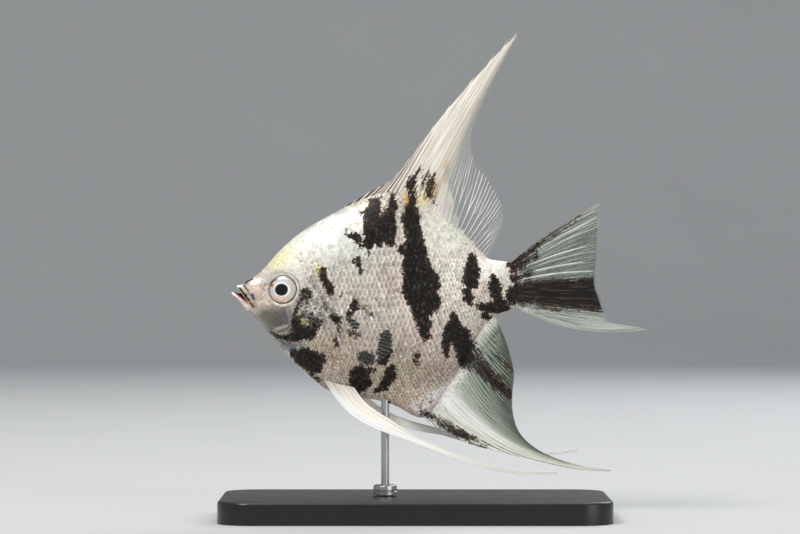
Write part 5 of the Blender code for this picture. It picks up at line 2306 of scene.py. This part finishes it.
TAIL = Fin(
    "tail", TAIL_RAYS, bend=(1.2, 0.4), soft_from=0, soft_step=0.5, across=420,
    outward=90, ray_width=0.05, uneven=0.5, colour_hex="d3dad2",
    opaque=((0, 0.5), (0.4, 0.15), (5.8, 0.1), (6.4, 0.45), (8, 0.6)),
    streaks=(
        (0.1, 0.1, 0.12, 0.1, 0.9, 0.08, "8b5c58", 0.7, 0.6),
        (0.42, 0.16, 0.05, 0.38, 1, 0.03, "d9cdc6", 0.9, 0.7),
        (0.8, 0.14, 0.055, 0.76, 1, 0.03, "e6ebe1", 0.85, 0.8),
        (1.15, 0.14, 0.045, 1.2, 0.95, 0.025, "d8e0d5", 0.8, 0.7),
        (1.6, 0.1, 0.06, 1.9, 0.85, 0.025, "edf1e7", 0.9, 0.9),
        (2.25, 0.08, 0.06, 2.62, 0.84, 0.025, "f0f3ea", 0.9, 0.9),
        (2.7, 0.05, 0.08, 3.15, 0.97, 0.025, "f6f8f0", 0.9, 0.9),
        (2, 0.3, 0.04, 2.25, 1, 0.03, "cfd8cf", 0.8, 0.6),
        (5.9, 0.1, 0.1, 6, 0.9, 0.08, "dfe8e4", 0.6, 0.4),
        (6.6, 0.1, 0.14, 6.8, 0.95, 0.1, "d6e0dc", 0.6, 0.4),
        (7.3, 0.1, 0.1, 7.4, 0.95, 0.07, "e6ece6", 0.6, 0.4),
        (7, 0.1, 0.05, 7.1, 0.95, 0.04, "8f9c94", 0.6, 0.4),
        (7.7, 0.1, 0.05, 7.8, 0.95, 0.04, "97a49c", 0.6, 0.4),
    ),
)


def build_fins(scales: Material) -> None:
    """Makes all seven fins, and the sheaths of small scales at the roots of three.

    Args:
        scales: the material of the sheaths.
    """
    streamer = FinWeb("fin_web_dorsal", "a2a7a6", 0.12, "f1efe8", 0.7, 0.1, streaks=90.0).make()
    lower = FinWeb(
        "fin_web_anal", "93a495", 0.74, "2f382f", 1.0, 0.5, streaks=64.0, ray_shown=0.2
    ).make()
    caudal = FinWeb(
        "fin_web_tail", "64716a", 0.84, "cdd6cb", 1.0, 1.0, streaks=56.0, streak_dark=0.7
    ).make()
    clear = FinWeb("fin_web_pectoral", "a9b0b4", 0.025, "e4e6e2", 0.16, streaks=40.0).make()
    white = FinWeb("fin_web_pelvic", "ffffff", 1.0, "ffffff", streaks=9.0, streak_dark=0.88).make()
    DORSAL.make(streamer, "dorsal_fin")
    ANAL.make(lower, "anal_fin")
    TAIL.make(caudal, "tail_fin")
    for side in Side:
        word = side.word
        table = PELVIC_LEFT_EDGES if side is Side.LEFT else PELVIC_RIGHT_EDGES
        Fin(
            f"pelvic_{word}", table, edges=True, side=side.value, soft_step=0.2,
            across=60, outward=160, root_mm=1.0, web_mm=0.42, ray_mm=0.6, ragged=0.0,
            splits=1, opaque=((0.0, 1.0), (1.0, 1.0)), colour_hex="fdfcf8", inked=False,
            streaks=(
                (0.05, 0.05, 0.1, 0.05, 1.0, 0.1, "f4fafc", 0.9),
                (0.82, 0.1, 0.05, 0.88, 1.0, 0.05, "e2d29c", 0.7),
                (0.6, 0.02, 0.16, 0.6, 0.3, 0.1, "f8e8dc", 0.6),
            ),
        ).make(white, f"pelvic_fin_{word}")
        Fin(
            f"pectoral_{word}", PECTORAL_RAYS, side=side.value, soft_step=0.4, across=160,
            outward=50, splits=1, root_mm=0.9, ray_mm=0.2, web_mm=0.05, flesh_mm=1.6,
            ray_width=0.085, uneven=0.5, colour_hex="f3dcd4", inked=False,
        ).make(clear, f"pectoral_fin_{word}")
        for fin, reach in (
            (DORSAL, ((0.0, 1.2), (4.0, 2.4), (5.0, 4.6), (7.0, 4.2), (9.0, 2.4), (15.0, 1.2))),
            (TAIL, ((0.0, 4.0), (4.0, 5.0), (8.0, 4.0))),
            (ANAL, ((0.0, 2.2), (5.0, 3.8), (9.0, 4.4), (16.0, 3.4))),
        ):
            SheathScales(
                name=f"sheath_{fin.name}_{word}", side=side, segments=10, fin=fin, reach=reach,
                # brighter painted glints on the tail root's sheath, standing also for its blue-white
                # specks
                sparkle=3.0 if fin is TAIL else 1.0,
            ).make(scales)


def main() -> None:
    """Builds the model around its solids, piece by piece."""
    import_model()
    Skin().make(LivingSkin().make())
    scales = SilveryScales().make()
    iris = Iris().make()
    for side in Side:
        FlankScales(f"scales_{side.word}", side).make(scales)
        Eye(side).make(iris)
    build_fins(scales)
    Stand().make(SatinAcrylic().make(), BrushedSteel().make())
    Studio().make(PaperSweep().make())


if __name__ == "__main__":
    logging.basicConfig(level=logging.INFO, format="%(message)s")
    main()
